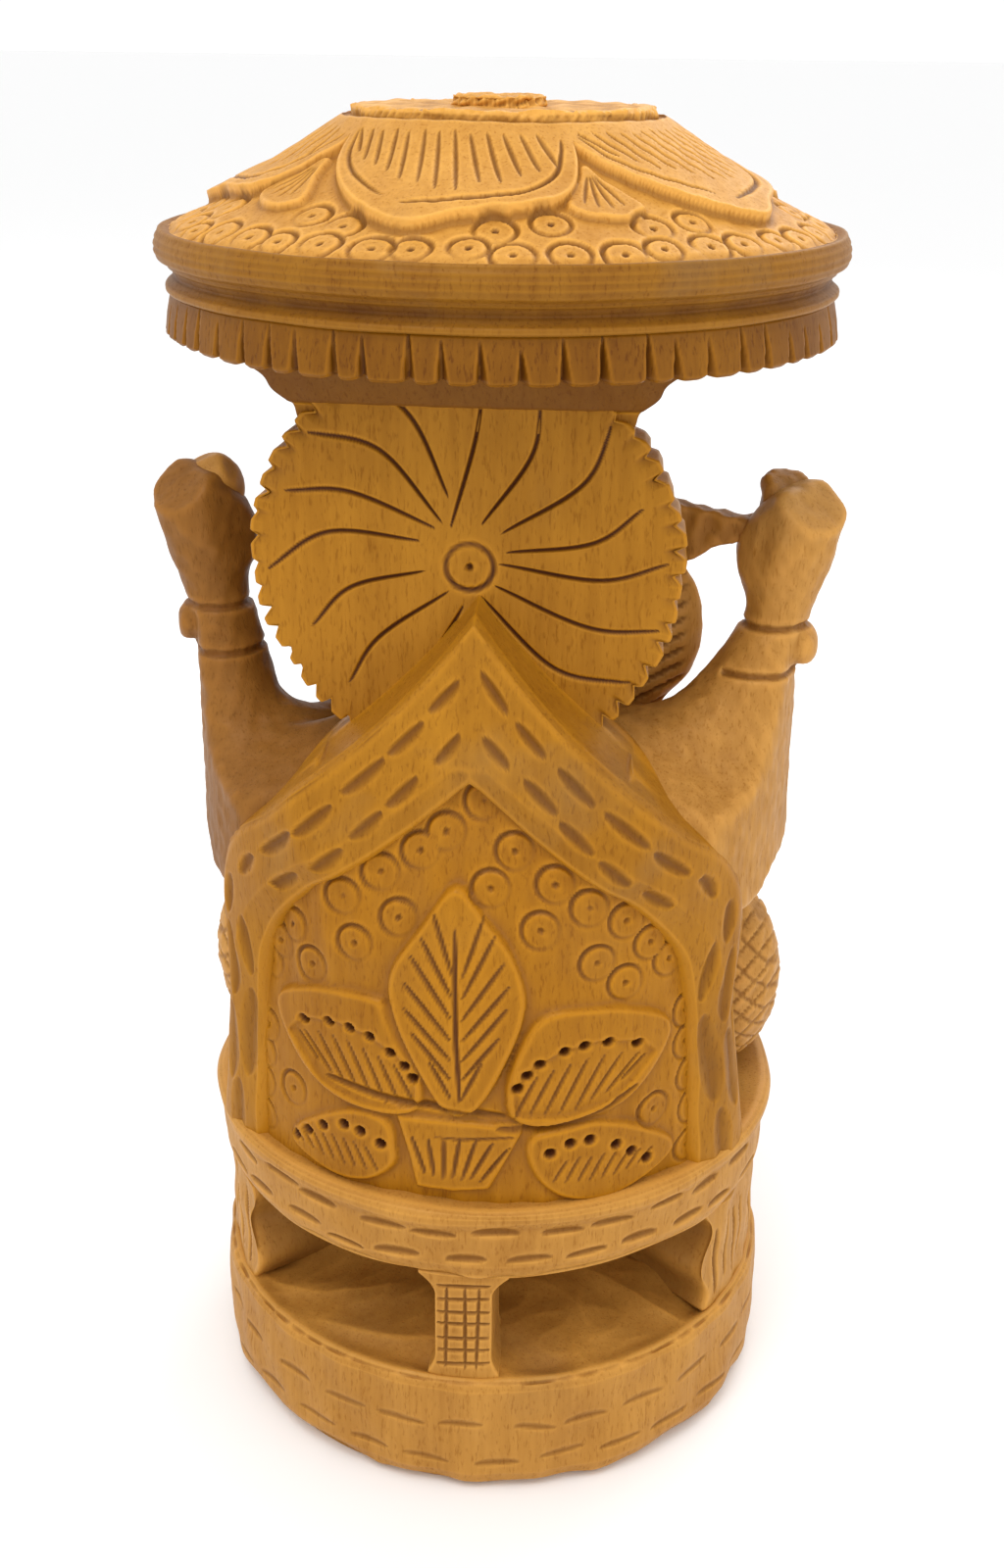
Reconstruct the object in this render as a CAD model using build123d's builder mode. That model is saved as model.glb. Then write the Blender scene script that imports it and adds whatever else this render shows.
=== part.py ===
from build123d import *
from math import cos, radians, sin, tan
import os

# Carved wooden figurine: an elephant-headed deity seated on a round openwork seat, with a gabled
# throne back and a sun-disc halo behind it and a turned umbrella canopy over it.
# Millimetres. +Z is up, the origin is the centre of the base's underside, and the figure faces -Y.

# Base drum and the openwork storey on it
base_radius = 33.8
base_height = 15.5
base_chamfer = 1.2
floor_rise = 3.5
core_radius = 15.5
socket_depth = 2.0
opening_height = 13.3
wall_inset = 0.5
post_width = 6.6
post_flare = 1.9
post_flare_height = 2.5
post_depth = 9.0
side_wall_angle = 68.0

# Seat ring
seat_height = 9.7
seat_bottom_radius = 33.2
seat_top_radius = 34.2
seat_lip = 1.0

# Throne back: a gabled frame whose outer face is turned, then leans in above the shoulder
throne_radius = 34.0
throne_front = 8.0
throne_shoulder_half_width = 27.2
throne_waist_half_width = 29.0
throne_foot_half_width = 31.6
throne_shoulder_height = 35.0
throne_waist_height = 20.0
gable_height = 30.0
lean_start_height = 20.0
lean_angle = 11.0
panel_recess = 2.2
panel_foot_half_width = 24.6
panel_side_half_width = 23.4
panel_side_height = 22.0
panel_apex_height = 47.0
panel_shoulder_pull = (1.0, 9.0)
panel_apex_pull = (8.0, 4.0)

# Halo disc behind the head, with a tenon that holds the canopy
halo_radius = 22.6
halo_height = 67.5
halo_front = 14.0
halo_thickness = 6.5
tenon_width = 18.0
tenon_thickness = 4.5
tenon_height = 6.0
tenon_clearance = 0.1

# Turned canopy
neck_height = 84.0
neck_radius = 23.0
canopy_radius = 36.0
soffit_rise = 4.6
rim_height = 2.6
rim_round = 0.9
dome_rise = 10.7
plateau_radius = 15.8
plateau_height = 1.8
boss_radius = 5.2
boss_height = 1.1
boss_facets = 9
boss_offset = 3.0
cove_depth = 1.2
cove_height = 2.9
fringe_height = 4.7
fringe_hang = 0.4
fringe_thickness = 2.0
fringe_flare = 0.6
tooth_count = 60
tooth_notch_width = 0.9
tooth_notch_depth = 1.1
tooth_notch_height = 3.1

# Seated figure
torso_y = throne_front - 10.0
hip_radius = 15.0
belly_radius = 18.5
belly_height = 19.0
chest_radius = 14.5
chest_height = 36.0
neck_top_radius = 8.5
torso_height = 50.0
head_radius = 12.4
head_height = 58.5
crown_radius = 9.4
crown_top_radius = 4.2
crown_band_height = 4.0
crown_overlap = 3.0
ear_half_width = 7.6
ear_half_height = 11.5
ear_thickness = 4.0
ear_x = 15.5
ear_height = 55.0
ear_setback = 6.0
tusk_root = (5.6, -9.9, 52.5)
tusk_lean = (0.35, -1.0, -0.55)
tusk_radius = 1.5
tusk_tip_radius = 0.8
tusk_length = 8.0
broken_tusk_length = 3.6
tusk_tip_extra = 2.0
trunk_path = ((0, -10.4, 56.5), (0, -17.4, 47.5), (1.5, -22.0, 37.5), (6.0, -23.5, 29.5))
trunk_radii = (5.6, 4.7, 3.9, 3.2, 2.5)
trunk_tip_offset = (-2.5, 1.0)
knee_radius = 7.4
thigh_radius = 7.0
thigh_lean = (0.5, 7.0, 10.0)
thigh_top_radius = 6.4
shank_radius = 6.2
limb_swell = 0.2
hip_setback = 2.0
knee_x = 27.0
knee_y = -8.0
hip_x = 10.0
shin_radius = 4.6
foot_radius = 4.0
right_ankle = (3.0, -27.5, 4.9)
right_toe = (10.0, -26.0, 4.4)
left_ankle = (8.0, -21.0, 4.9)
left_toe = (2.0, -21.5, 4.4)
rear_shoulder = (13.0, 2.0, 41.0)
rear_elbow = (28.4, 8.0, 37.0)
rear_wrist = (30.8, 5.0, 56.5)
rear_arm_radii = (6.2, 6.4, 4.0)
hand_inset = 0.6
hand_radius = 4.4
hand_rise = 11.5
front_shoulder = (13.0, -7.0, 38.0)
front_elbow = (24.0, -13.0, 25.5)
front_arm_radii = (5.0, 4.3, 3.2)
palm_size = (6.4, 3.2, 10.0)
palm_place = (25.5, -19.5, 36.0)
palm_offset = 0.5
bowl_place = (14.0, -25.5, 23.0)
bowl_radius = 5.4
bowl_height = 4.4
bowl_wall = 1.1
bowl_taper = 1.5
axe_handle_reach = 8.0
axe_handle_radius = 1.9
axe_head_radius = 2.6
axe_blade_width = 9.0
axe_blade_height = 12.0
axe_blade_thickness = 4.0
axe_neck_length = 8.0
axe_neck_half_height = 2.0
axe_neck_rise = 3.0
axe_blade_rise = 5.0
lotus_radius = 4.6
lotus_taper = 2.0
lotus_height = 8.0

# Heights that follow from the sizes above
seat_bottom = base_height + opening_height
seat_top = seat_bottom + seat_height
canopy_bottom = seat_top + neck_height
soffit_top = canopy_bottom + soffit_rise
fringe_bottom = soffit_top - fringe_hang
fringe_top = fringe_bottom + fringe_height
rim_bottom = fringe_top + cove_height
rim_top = rim_bottom + rim_height
plateau_bottom = rim_top + dome_rise
plateau_top = plateau_bottom + plateau_height
wall_radius = seat_bottom_radius - wall_inset
shoulder_z = seat_top + throne_shoulder_height
apex_z = shoulder_z + gable_height
halo_z = seat_top + halo_height
head_z = seat_top + head_height
knee_z = seat_top + knee_radius
far = 60.0
upright = (Align.CENTER, Align.CENTER, Align.MIN)


def on_seat(place, side=1):
    """A point given as x, y and height above the seat, on the figure's left (1) or right (-1)."""
    return Vector(side * place[0], place[1], seat_top + place[2])


def rod(start, end, start_radius, end_radius, ball=0.0):
    """Adds a tapered round bar from start to end, and a ball at its end if a radius is given."""
    along = end - start
    with Locations(Plane(origin=start, z_dir=along.normalized())):
        Cone(start_radius, end_radius, along.length, align=upright)
    if ball:
        with Locations(Plane(origin=end, z_dir=along.normalized())):
            Sphere(ball)


def limb(points, radii, swell=limb_swell):
    """Adds tapered bars through the points, with a slightly larger ball at the end of each."""
    for start, end, first, last in zip(points, points[1:], radii, radii[1:]):
        rod(start, end, first, last, last + swell)


def cut_away(*pieces):
    """Cuts the finished pieces out of the part being built, so that it fits against them."""
    for piece in pieces:
        add(piece.part, mode=Mode.SUBTRACT)


# Base block: a turned drum whose top rises to the core, with a socket for the core
with BuildPart() as base_block:
    with BuildSketch(Plane.XZ):
        with BuildLine():
            Polyline(
                (0, 0),
                (base_radius - base_chamfer, 0),
                (base_radius, base_chamfer),
                (base_radius, base_height),
                (core_radius, base_height + floor_rise),
                (0, base_height + floor_rise),
                close=True,
            )
        make_face()
    revolve(axis=Axis.Z)
    with BuildSketch(Plane.XY.offset(base_height + floor_rise)):
        Circle(core_radius)
    extrude(amount=-socket_depth, mode=Mode.SUBTRACT)

# Base core: the drum of wood left standing in the middle of the openings
with BuildPart() as base_core:
    with BuildSketch(Plane.XY.offset(base_height + floor_rise - socket_depth)):
        Circle(core_radius)
    extrude(amount=seat_bottom - base_height - floor_rise + 2 * socket_depth)


# The ring of wood that the walls and posts of the openwork storey are left from
with BuildPart() as wall_ring:
    with BuildSketch(Plane.XY.offset(base_height)):
        Circle(wall_radius)
        Circle(core_radius, mode=Mode.SUBTRACT)
    extrude(amount=opening_height)


def side_wall(side):
    """One of the two solid walls between the openings."""
    with BuildPart() as wall:
        add(wall_ring.part)
        with BuildSketch(Plane.XY.offset(base_height)):
            with BuildLine():
                half = radians(side_wall_angle / 2)
                Polyline(
                    (0, 0),
                    (side * far * cos(half), far * sin(half)),
                    (side * far * cos(half), -far * sin(half)),
                    close=True,
                )
            make_face()
        extrude(amount=opening_height, mode=Mode.INTERSECT)
        cut_away(base_block)
    return wall


def post(side):
    """A post at the back (1) or front (-1) of the openings, with a flared head and foot."""
    half = post_width / 2
    wide = half + post_flare
    top = seat_bottom
    with BuildPart() as piece:
        add(wall_ring.part)
        with BuildSketch(Plane.XZ):
            with BuildLine():
                Polyline(
                    (-wide, base_height),
                    (-half, base_height + post_flare_height),
                    (-half, top - post_flare_height),
                    (-wide, top),
                    (wide, top),
                    (half, top - post_flare_height),
                    (half, base_height + post_flare_height),
                    (wide, base_height),
                    close=True,
                )
            make_face()
        extrude(amount=-side * far, mode=Mode.INTERSECT)
        with BuildSketch(Plane.XY.offset(base_height)):
            Circle(wall_radius - post_depth)
        extrude(amount=opening_height, mode=Mode.SUBTRACT)
        cut_away(base_block)
    return piece


left_side_wall = side_wall(1)
right_side_wall = side_wall(-1)
rear_post = post(1)
front_post = post(-1)

# Seat ring: the disc that the figure and the throne back stand on
with BuildPart() as seat_ring:
    with BuildSketch(Plane.XZ):
        with BuildLine():
            Polyline(
                (0, seat_bottom),
                (seat_bottom_radius, seat_bottom),
                (seat_top_radius, seat_top - seat_lip),
                (seat_top_radius - seat_lip, seat_top),
                (0, seat_top),
                close=True,
            )
        make_face()
    revolve(axis=Axis.Z)
    with BuildSketch(Plane.XY.offset(seat_bottom)):
        Circle(core_radius)
    extrude(amount=socket_depth, mode=Mode.SUBTRACT)


def throne_blank(radius):
    """The turned block, leaning in above the shoulder, that the throne back is cut from."""
    with BuildPart() as blank:
        with BuildSketch(Plane.XY.offset(seat_top)):
            Circle(radius)
            with Locations((0, throne_front)):
                Rectangle(2 * far, far, align=(Align.CENTER, Align.MIN), mode=Mode.INTERSECT)
        extrude(amount=apex_z - seat_top)
        lean_z = seat_top + lean_start_height
        run = (apex_z - lean_z) * tan(radians(lean_angle))
        with BuildSketch(Plane.YZ):
            with BuildLine():
                Polyline((radius, lean_z), (radius - run, apex_z), (far, apex_z), (far, lean_z), close=True)
            make_face()
        extrude(amount=far, both=True, mode=Mode.SUBTRACT)
    return blank.part


# Panel outline: an arch with round shoulders and a pointed top, standing on the seat
with BuildSketch(Plane.XZ.offset(-far)) as panel_outline:
    with BuildLine():
        foot = (panel_foot_half_width, seat_top)
        side = (panel_side_half_width, seat_top + panel_side_height)
        apex = (0, seat_top + panel_apex_height)
        Line(foot, side)
        Bezier(
            side,
            (side[0] - panel_shoulder_pull[0], apex[1] - panel_shoulder_pull[1]),
            (apex[0] + panel_apex_pull[0], apex[1] - panel_apex_pull[1]),
            apex,
        )
        mirror(about=Plane.YZ)
        Line((-foot[0], foot[1]), foot)
    make_face()


# Throne frame: the gable and its two side stiles
with BuildPart() as throne_frame:
    add(throne_blank(throne_radius))
    with BuildSketch(Plane.XZ.offset(-far)):
        with BuildLine():
            Polyline(
                (0, apex_z),
                (throne_shoulder_half_width, shoulder_z),
                (throne_waist_half_width, seat_top + throne_waist_height),
                (throne_foot_half_width, seat_top),
                (-throne_foot_half_width, seat_top),
                (-throne_waist_half_width, seat_top + throne_waist_height),
                (-throne_shoulder_half_width, shoulder_z),
                close=True,
            )
        make_face()
    extrude(amount=far, mode=Mode.INTERSECT)
    extrude(panel_outline.sketch, amount=far, mode=Mode.SUBTRACT)

# Throne panel: the carved field let into the frame, sunk below its face
with BuildPart() as throne_panel:
    add(throne_blank(throne_radius - panel_recess))
    extrude(panel_outline.sketch, amount=far, mode=Mode.INTERSECT)

# Halo disc: stands up behind the head and carries the canopy on a tenon
with BuildPart() as halo_disc:
    with BuildSketch(Plane.XZ.offset(-halo_front)):
        with Locations((0, halo_z)):
            Circle(halo_radius)
        with Locations((0, canopy_bottom)):
            Rectangle(2 * far, far, align=(Align.CENTER, Align.MIN), mode=Mode.SUBTRACT)
    extrude(amount=-halo_thickness)
    with BuildSketch(Plane.XY.offset(canopy_bottom)):
        with Locations((0, halo_front + halo_thickness / 2)):
            Rectangle(tenon_width, tenon_thickness)
    extrude(amount=tenon_height)
    cut_away(throne_frame, throne_panel)

# Canopy dome: turned, with a sloping soffit, a cove, a rounded rim and a flat plateau
with BuildPart() as canopy_dome:
    cove_radius = canopy_radius - cove_depth
    inner_radius = cove_radius - fringe_thickness
    with BuildSketch(Plane.XZ):
        with BuildLine():
            Polyline(
                (0, canopy_bottom),
                (neck_radius, canopy_bottom),
                (inner_radius, soffit_top),
                (inner_radius, fringe_top),
                (cove_radius, fringe_top),
                (cove_radius, rim_bottom),
                (canopy_radius, rim_bottom),
                (canopy_radius, rim_top),
                (plateau_radius, plateau_bottom),
                (plateau_radius, plateau_top),
                (0, plateau_top),
                close=True,
            )
        make_face()
    revolve(axis=Axis.Z)
    fillet(canopy_dome.edges().filter_by(GeomType.CIRCLE).group_by(SortBy.RADIUS)[-1], rim_round)
    with BuildSketch(Plane.XY.offset(canopy_bottom)):
        with Locations((0, halo_front + halo_thickness / 2)):
            Rectangle(tenon_width + 2 * tenon_clearance, tenon_thickness + 2 * tenon_clearance)
    extrude(amount=tenon_height + tenon_clearance, mode=Mode.SUBTRACT)

# Canopy boss: the stub left on the plateau by the lathe centre
with BuildPart() as canopy_boss:
    with BuildSketch(Plane.XY.offset(plateau_top)):
        with Locations((0, boss_offset)):
            RegularPolygon(boss_radius, boss_facets)
    extrude(amount=boss_height)

# Canopy fringe: the skirt under the rim, notched into teeth
with BuildPart() as canopy_fringe:
    with BuildSketch(Plane.XZ):
        with BuildLine():
            Polyline(
                (inner_radius, fringe_bottom),
                (cove_radius + fringe_flare, fringe_bottom),
                (cove_radius, fringe_top),
                (inner_radius, fringe_top),
                close=True,
            )
        make_face()
    revolve(axis=Axis.Z)
    with BuildSketch(Plane.XY.offset(fringe_bottom)):
        with PolarLocations(cove_radius + fringe_flare, tooth_count):
            Rectangle(2 * tooth_notch_depth, tooth_notch_width)
    extrude(amount=tooth_notch_height, mode=Mode.SUBTRACT)

# Torso: the round belly and chest, flat where it meets the throne back
with BuildPart() as torso:
    with BuildSketch(Plane.XZ.offset(-torso_y)):
        with BuildLine():
            Line((0, seat_top), (hip_radius, seat_top))
            Spline(
                (hip_radius, seat_top),
                (belly_radius, seat_top + belly_height),
                (chest_radius, seat_top + chest_height),
                (neck_top_radius, seat_top + torso_height),
            )
            Line((neck_top_radius, seat_top + torso_height), (0, seat_top + torso_height))
            Line((0, seat_top + torso_height), (0, seat_top))
        make_face()
    revolve(axis=Axis((0, torso_y, 0), (0, 0, 1)))
    cut_away(throne_frame, throne_panel)


def leg(side, ankle, toe, others):
    """A folded leg: hip, knee with the thigh standing up behind it, and a foot near the middle."""
    hip = Vector(side * hip_x, torso_y - hip_setback, knee_z)
    knee = Vector(side * knee_x, knee_y, knee_z)
    with BuildPart() as piece:
        rod(hip, knee, thigh_radius, knee_radius - limb_swell, knee_radius)
        thigh_top = knee + Vector(-side * thigh_lean[0], thigh_lean[1], thigh_lean[2])
        rod(knee, thigh_top, knee_radius - limb_swell, thigh_top_radius - limb_swell, thigh_top_radius)
        rod(knee, ankle, shank_radius, shin_radius, shin_radius + limb_swell)
        rod(ankle, toe, shin_radius - limb_swell, foot_radius, foot_radius + limb_swell)
        cut_away(seat_ring, torso, throne_frame, *others)
    return piece


right_leg = leg(-1, on_seat(right_ankle), on_seat(right_toe), ())
left_leg = leg(1, on_seat(left_ankle), on_seat(left_toe), (right_leg,))


# Axe: a short handle through the right hand and a blade that reaches the halo's edge
with BuildPart() as axe:
    grip = on_seat(rear_wrist, -1) + Vector(0, 0, hand_rise)
    reach = Vector(0, 0, axe_handle_reach)
    rod(grip - reach, grip + reach, axe_handle_radius, axe_head_radius)
    neck_x = grip.X + axe_neck_length
    edge_x = neck_x + axe_blade_width
    blade_top = grip.Z + axe_blade_rise
    with BuildSketch(Plane.XZ.offset(-grip.Y + axe_blade_thickness / 2)):
        with BuildLine():
            Polyline(
                (grip.X, grip.Z + axe_neck_half_height),
                (neck_x, grip.Z + axe_neck_rise),
                (edge_x, blade_top),
                (edge_x, blade_top - axe_blade_height),
                (neck_x, grip.Z - axe_neck_half_height),
                (grip.X, grip.Z - axe_neck_half_height),
                close=True,
            )
        make_face()
    extrude(amount=-axe_blade_thickness)
    cut_away(halo_disc)


def rear_arm(side, held):
    """A raised arm: shoulder, elbow, upright forearm and closed hand."""
    wrist = on_seat(rear_wrist, side)
    hand = wrist + Vector(0, 0, hand_rise)
    with BuildPart() as piece:
        points = (on_seat(rear_shoulder, side), on_seat(rear_elbow, side), wrist)
        limb(points, rear_arm_radii)
        rod(wrist, hand, rear_arm_radii[2] - hand_inset, hand_radius - hand_inset)
        with Locations(hand):
            Sphere(hand_radius)
        cut_away(torso, throne_frame, throne_panel, *held)
    return piece


left_rear_arm = rear_arm(1, ())
right_rear_arm = rear_arm(-1, (axe,))

# Head: a plain round mass on the neck
with BuildPart() as head:
    with Locations((0, 0, head_z)):
        Sphere(head_radius)
    cut_away(torso, throne_frame, throne_panel, halo_disc)

# Crown: a band and a tapering cap that reaches the canopy
with BuildPart() as crown:
    crown_bottom = head_z + head_radius - crown_overlap
    with BuildSketch(Plane.XZ):
        with BuildLine():
            Polyline(
                (0, crown_bottom),
                (crown_radius, crown_bottom),
                (crown_radius, crown_bottom + crown_band_height),
                (crown_top_radius, canopy_bottom),
                (0, canopy_bottom),
                close=True,
            )
        make_face()
    revolve(axis=Axis.Z)
    cut_away(head)


def ear(side, arm):
    """A broad flat ear beside the head."""
    with BuildPart() as piece:
        with BuildSketch(Plane.XZ.offset(ear_thickness + ear_setback - halo_front)):
            with Locations((side * ear_x, seat_top + ear_height)):
                Ellipse(ear_half_width, ear_half_height)
        extrude(amount=ear_thickness)
        cut_away(head, torso, arm, axe)
    return piece


left_ear = ear(1, left_rear_arm)
right_ear = ear(-1, right_rear_arm)

# Trunk: hangs from the face, crosses the belly and turns to the bowl
with BuildPart() as trunk:
    bowl_centre = on_seat(bowl_place)
    trunk_tip = bowl_centre + Vector(trunk_tip_offset[0], trunk_tip_offset[1], bowl_height + trunk_radii[4])
    limb([on_seat(place) for place in trunk_path] + [trunk_tip], trunk_radii)
    cut_away(head, torso)


def tusk(side, length):
    """A tusk beside the trunk's root."""
    root = on_seat(tusk_root, side)
    along = Vector(side * tusk_lean[0], tusk_lean[1], tusk_lean[2]).normalized()
    with BuildPart() as piece:
        rod(root, root + along * (length + tusk_tip_extra), tusk_radius, tusk_tip_radius)
        cut_away(head, trunk)
    return piece


left_tusk = tusk(1, tusk_length)
right_tusk = tusk(-1, broken_tusk_length)

# Sweet bowl: a small open dish held on the left palm
with BuildPart() as sweet_bowl:
    with Locations(bowl_centre):
        Cone(bowl_radius - bowl_taper, bowl_radius, bowl_height, align=upright)
        Cone(
            bowl_radius - bowl_taper - bowl_wall,
            bowl_radius - bowl_wall,
            bowl_height - bowl_wall,
            align=upright,
            mode=Mode.SUBTRACT,
        )
    cut_away(trunk, torso)

# Front arms: the left one carries the bowl, the right one is raised in blessing
with BuildPart() as left_front_arm:
    palm = bowl_centre + Vector(palm_offset, palm_offset, -front_arm_radii[2])
    limb((on_seat(front_shoulder), on_seat(front_elbow), palm), front_arm_radii)
    cut_away(torso, left_rear_arm, left_leg, right_leg, sweet_bowl, trunk)

with BuildPart() as right_front_arm:
    palm_centre = on_seat(palm_place, -1)
    wrist_point = palm_centre - Vector(0, 0, palm_size[2] / 2)
    limb((on_seat(front_shoulder, -1), on_seat(front_elbow, -1), wrist_point), front_arm_radii)
    with Locations(palm_centre):
        Box(*palm_size)
    cut_away(torso, right_rear_arm, right_leg, left_leg)

# Lotus bud: opens upwards out of the left hand
with BuildPart() as lotus_bud:
    stem = on_seat(rear_wrist) + Vector(0, 0, hand_rise)
    with Locations(stem):
        Cone(lotus_radius - lotus_taper, lotus_radius, lotus_height, align=upright)
    cut_away(left_rear_arm)

pieces = {
    "base_block": base_block,
    "base_core": base_core,
    "left_side_wall": left_side_wall,
    "right_side_wall": right_side_wall,
    "rear_post": rear_post,
    "front_post": front_post,
    "seat_ring": seat_ring,
    "throne_frame": throne_frame,
    "throne_panel": throne_panel,
    "halo_disc": halo_disc,
    "canopy_dome": canopy_dome,
    "canopy_boss": canopy_boss,
    "canopy_fringe": canopy_fringe,
    "torso": torso,
    "left_leg": left_leg,
    "right_leg": right_leg,
    "head": head,
    "crown": crown,
    "left_ear": left_ear,
    "right_ear": right_ear,
    "trunk": trunk,
    "left_tusk": left_tusk,
    "right_tusk": right_tusk,
    "left_rear_arm": left_rear_arm,
    "right_rear_arm": right_rear_arm,
    "left_front_arm": left_front_arm,
    "right_front_arm": right_front_arm,
    "sweet_bowl": sweet_bowl,
    "axe": axe,
    "lotus_bud": lotus_bud,
}

os.makedirs("parts", exist_ok=True)
for name, piece in pieces.items():
    piece.part.label = name
    export_step(piece.part, f"parts/{name}.step")
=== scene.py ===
import math

import bpy
import numpy as np
from mathutils import Matrix, Vector


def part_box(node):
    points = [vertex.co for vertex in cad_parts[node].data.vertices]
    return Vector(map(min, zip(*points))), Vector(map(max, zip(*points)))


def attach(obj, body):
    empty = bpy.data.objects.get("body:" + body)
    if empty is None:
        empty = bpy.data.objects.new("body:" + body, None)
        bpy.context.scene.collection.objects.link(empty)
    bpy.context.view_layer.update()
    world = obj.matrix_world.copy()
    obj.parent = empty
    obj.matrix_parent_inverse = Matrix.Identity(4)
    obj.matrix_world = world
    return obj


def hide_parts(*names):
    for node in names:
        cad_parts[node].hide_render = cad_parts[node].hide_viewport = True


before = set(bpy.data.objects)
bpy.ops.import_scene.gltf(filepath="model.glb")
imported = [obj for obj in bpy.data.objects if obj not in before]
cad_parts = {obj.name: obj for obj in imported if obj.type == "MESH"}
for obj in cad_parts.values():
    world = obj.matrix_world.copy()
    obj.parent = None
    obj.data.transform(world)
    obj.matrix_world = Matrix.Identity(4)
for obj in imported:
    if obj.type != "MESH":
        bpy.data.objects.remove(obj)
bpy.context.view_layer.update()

mm = 0.001
dice = np.random.default_rng(21)
density = 1.0
turn = 2 * math.pi


def nodeBox(node):
    low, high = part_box(node)
    return np.array(low) / mm, np.array(high) / mm


# Heights and radii that every carved piece shares, in mm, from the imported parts
seatBottom = nodeBox("seat_ring")[0][2]
seatTop = nodeBox("seat_ring")[1][2]
seatRadius = nodeBox("seat_ring")[1][0]
canopyBottom = nodeBox("canopy_dome")[0][2]
canopyRadius = nodeBox("canopy_dome")[1][0]
plateauTop = nodeBox("canopy_dome")[1][2]
baseRadius = nodeBox("base_block")[1][0]
throneFront = nodeBox("throne_frame")[0][1]


# Meshes from arrays

def outwardFaces(points, faces):
    # turns the whole skin round if its volume comes out negative
    tri = points[faces[:, :3]]
    volume = np.einsum("ij,ij->i", tri[:, 0], np.cross(tri[:, 1], tri[:, 2])).sum()
    if faces.shape[1] == 4:
        tri = points[faces[:, [0, 2, 3]]]
        volume += np.einsum("ij,ij->i", tri[:, 0], np.cross(tri[:, 1], tri[:, 2])).sum()
    return faces[:, ::-1] if volume < 0 else faces


def newObject(name, points, faces, scorch=None):
    mesh = bpy.data.meshes.new(name)
    mesh.from_pydata((points * mm).tolist(), [], faces)
    mesh.validate()
    values = np.zeros(len(points)) if scorch is None else scorch
    mesh.attributes.new("scorch", "FLOAT", "POINT").data.foreach_set("value", values.astype(np.float32))
    made = bpy.data.objects.new(name, mesh)
    bpy.context.scene.collection.objects.link(made)
    return made


def markHollows(piece):
    # hollow and valley: how far each point lies below (+) or above (-) the skin smoothed around it, in mm
    # the wood colour darkens hollows and valleys with these (dirt pooled there, and painted shade) and lightens
    # raised edges as a painted highlight
    mesh = piece.data
    count = len(mesh.vertices)
    points = np.empty(count * 3, np.float32)
    mesh.vertices.foreach_get("co", points)
    points = points.reshape(-1, 3).astype(float) / mm
    normals = np.empty(count * 3, np.float32)
    mesh.vertex_normals.foreach_get("vector", normals)
    normals = normals.reshape(-1, 3)
    edges = np.empty(len(mesh.edges) * 2, np.int32)
    mesh.edges.foreach_get("vertices", edges)
    start, end = edges.reshape(-1, 2).T
    joined = np.maximum(np.bincount(start, minlength=count) + np.bincount(end, minlength=count), 1)
    smooth = points.copy()
    for done in range(1, 31):
        total = np.empty_like(smooth)
        for axis in range(3):
            column = smooth[:, axis]
            total[:, axis] = np.bincount(start, column[end], count) + np.bincount(end, column[start], count)
        smooth = (smooth + total / joined[:, None]) / 2
        if done in (8, 30):
            sunk = np.einsum("ij,ij->i", smooth - points, normals).astype(np.float32)
            key = "hollow" if done == 8 else "valley"
            mesh.attributes.new(key, "FLOAT", "POINT").data.foreach_set("value", sunk)


def aboutAxis(radius, angle, height):
    return np.stack([radius * np.sin(angle), radius * np.cos(angle), height], axis=1)


def gridFaces(rows, columns, around=True):
    a, b = np.meshgrid(np.arange(rows - 1), np.arange(columns if around else columns - 1), indexing="ij")
    nextColumn = (b + 1) % columns
    quads = [a * columns + b, a * columns + nextColumn, (a + 1) * columns + nextColumn, (a + 1) * columns + b]
    return np.stack(quads, axis=-1).reshape(-1, 4)


def smoothPath(points, steps=8, closed=False):
    # a Catmull-Rom curve through the points
    points = np.array(points, float)
    if closed:
        points = np.vstack([points[-1], points, points[:2]])
    else:
        points = np.vstack([2 * points[0] - points[1], points, 2 * points[-1] - points[-2]])
    t = np.linspace(0, 1, steps, endpoint=False)[:, None]
    spans = []
    for a, b, c, d in zip(points, points[1:], points[2:], points[3:]):
        spans.append(0.5 * (2 * b + (c - a) * t + (2 * a - 5 * b + 4 * c - d) * t**2
                            + (3 * b - a - 3 * c + d) * t**3))
    path = np.vstack(spans)
    return path if closed else np.vstack([path, points[-2]])


def resample(path):
    # even steps along each run, keeping its corners; the third number of a point is the step up to it
    out = [path[0][:2]]
    for start, end in zip(path, path[1:]):
        run = end[:2] - start[:2]
        pieces = max(1, int(round(np.linalg.norm(run) * density / end[2])))
        for k in range(1, pieces + 1):
            out.append(start[:2] + run * k / pieces)
    return np.array(out)


def softStep(x, low, high):
    t = np.clip((x - low) / (high - low), 0, 1)
    return t * t * (3 - 2 * t)


def waver(*coords, seed=0, size=10.0):
    # slow smooth unevenness of a hand-cut surface, between about -1 and 1
    own = np.random.default_rng(seed)
    total = 0
    for _ in range(5):
        phase = own.uniform(0, turn)
        for c in coords:
            phase = phase + c * own.normal(0, 1) * turn / size
        total = total + np.sin(phase)
    return total / 2.6


# Carving: tool marks on a surface laid out flat

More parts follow.
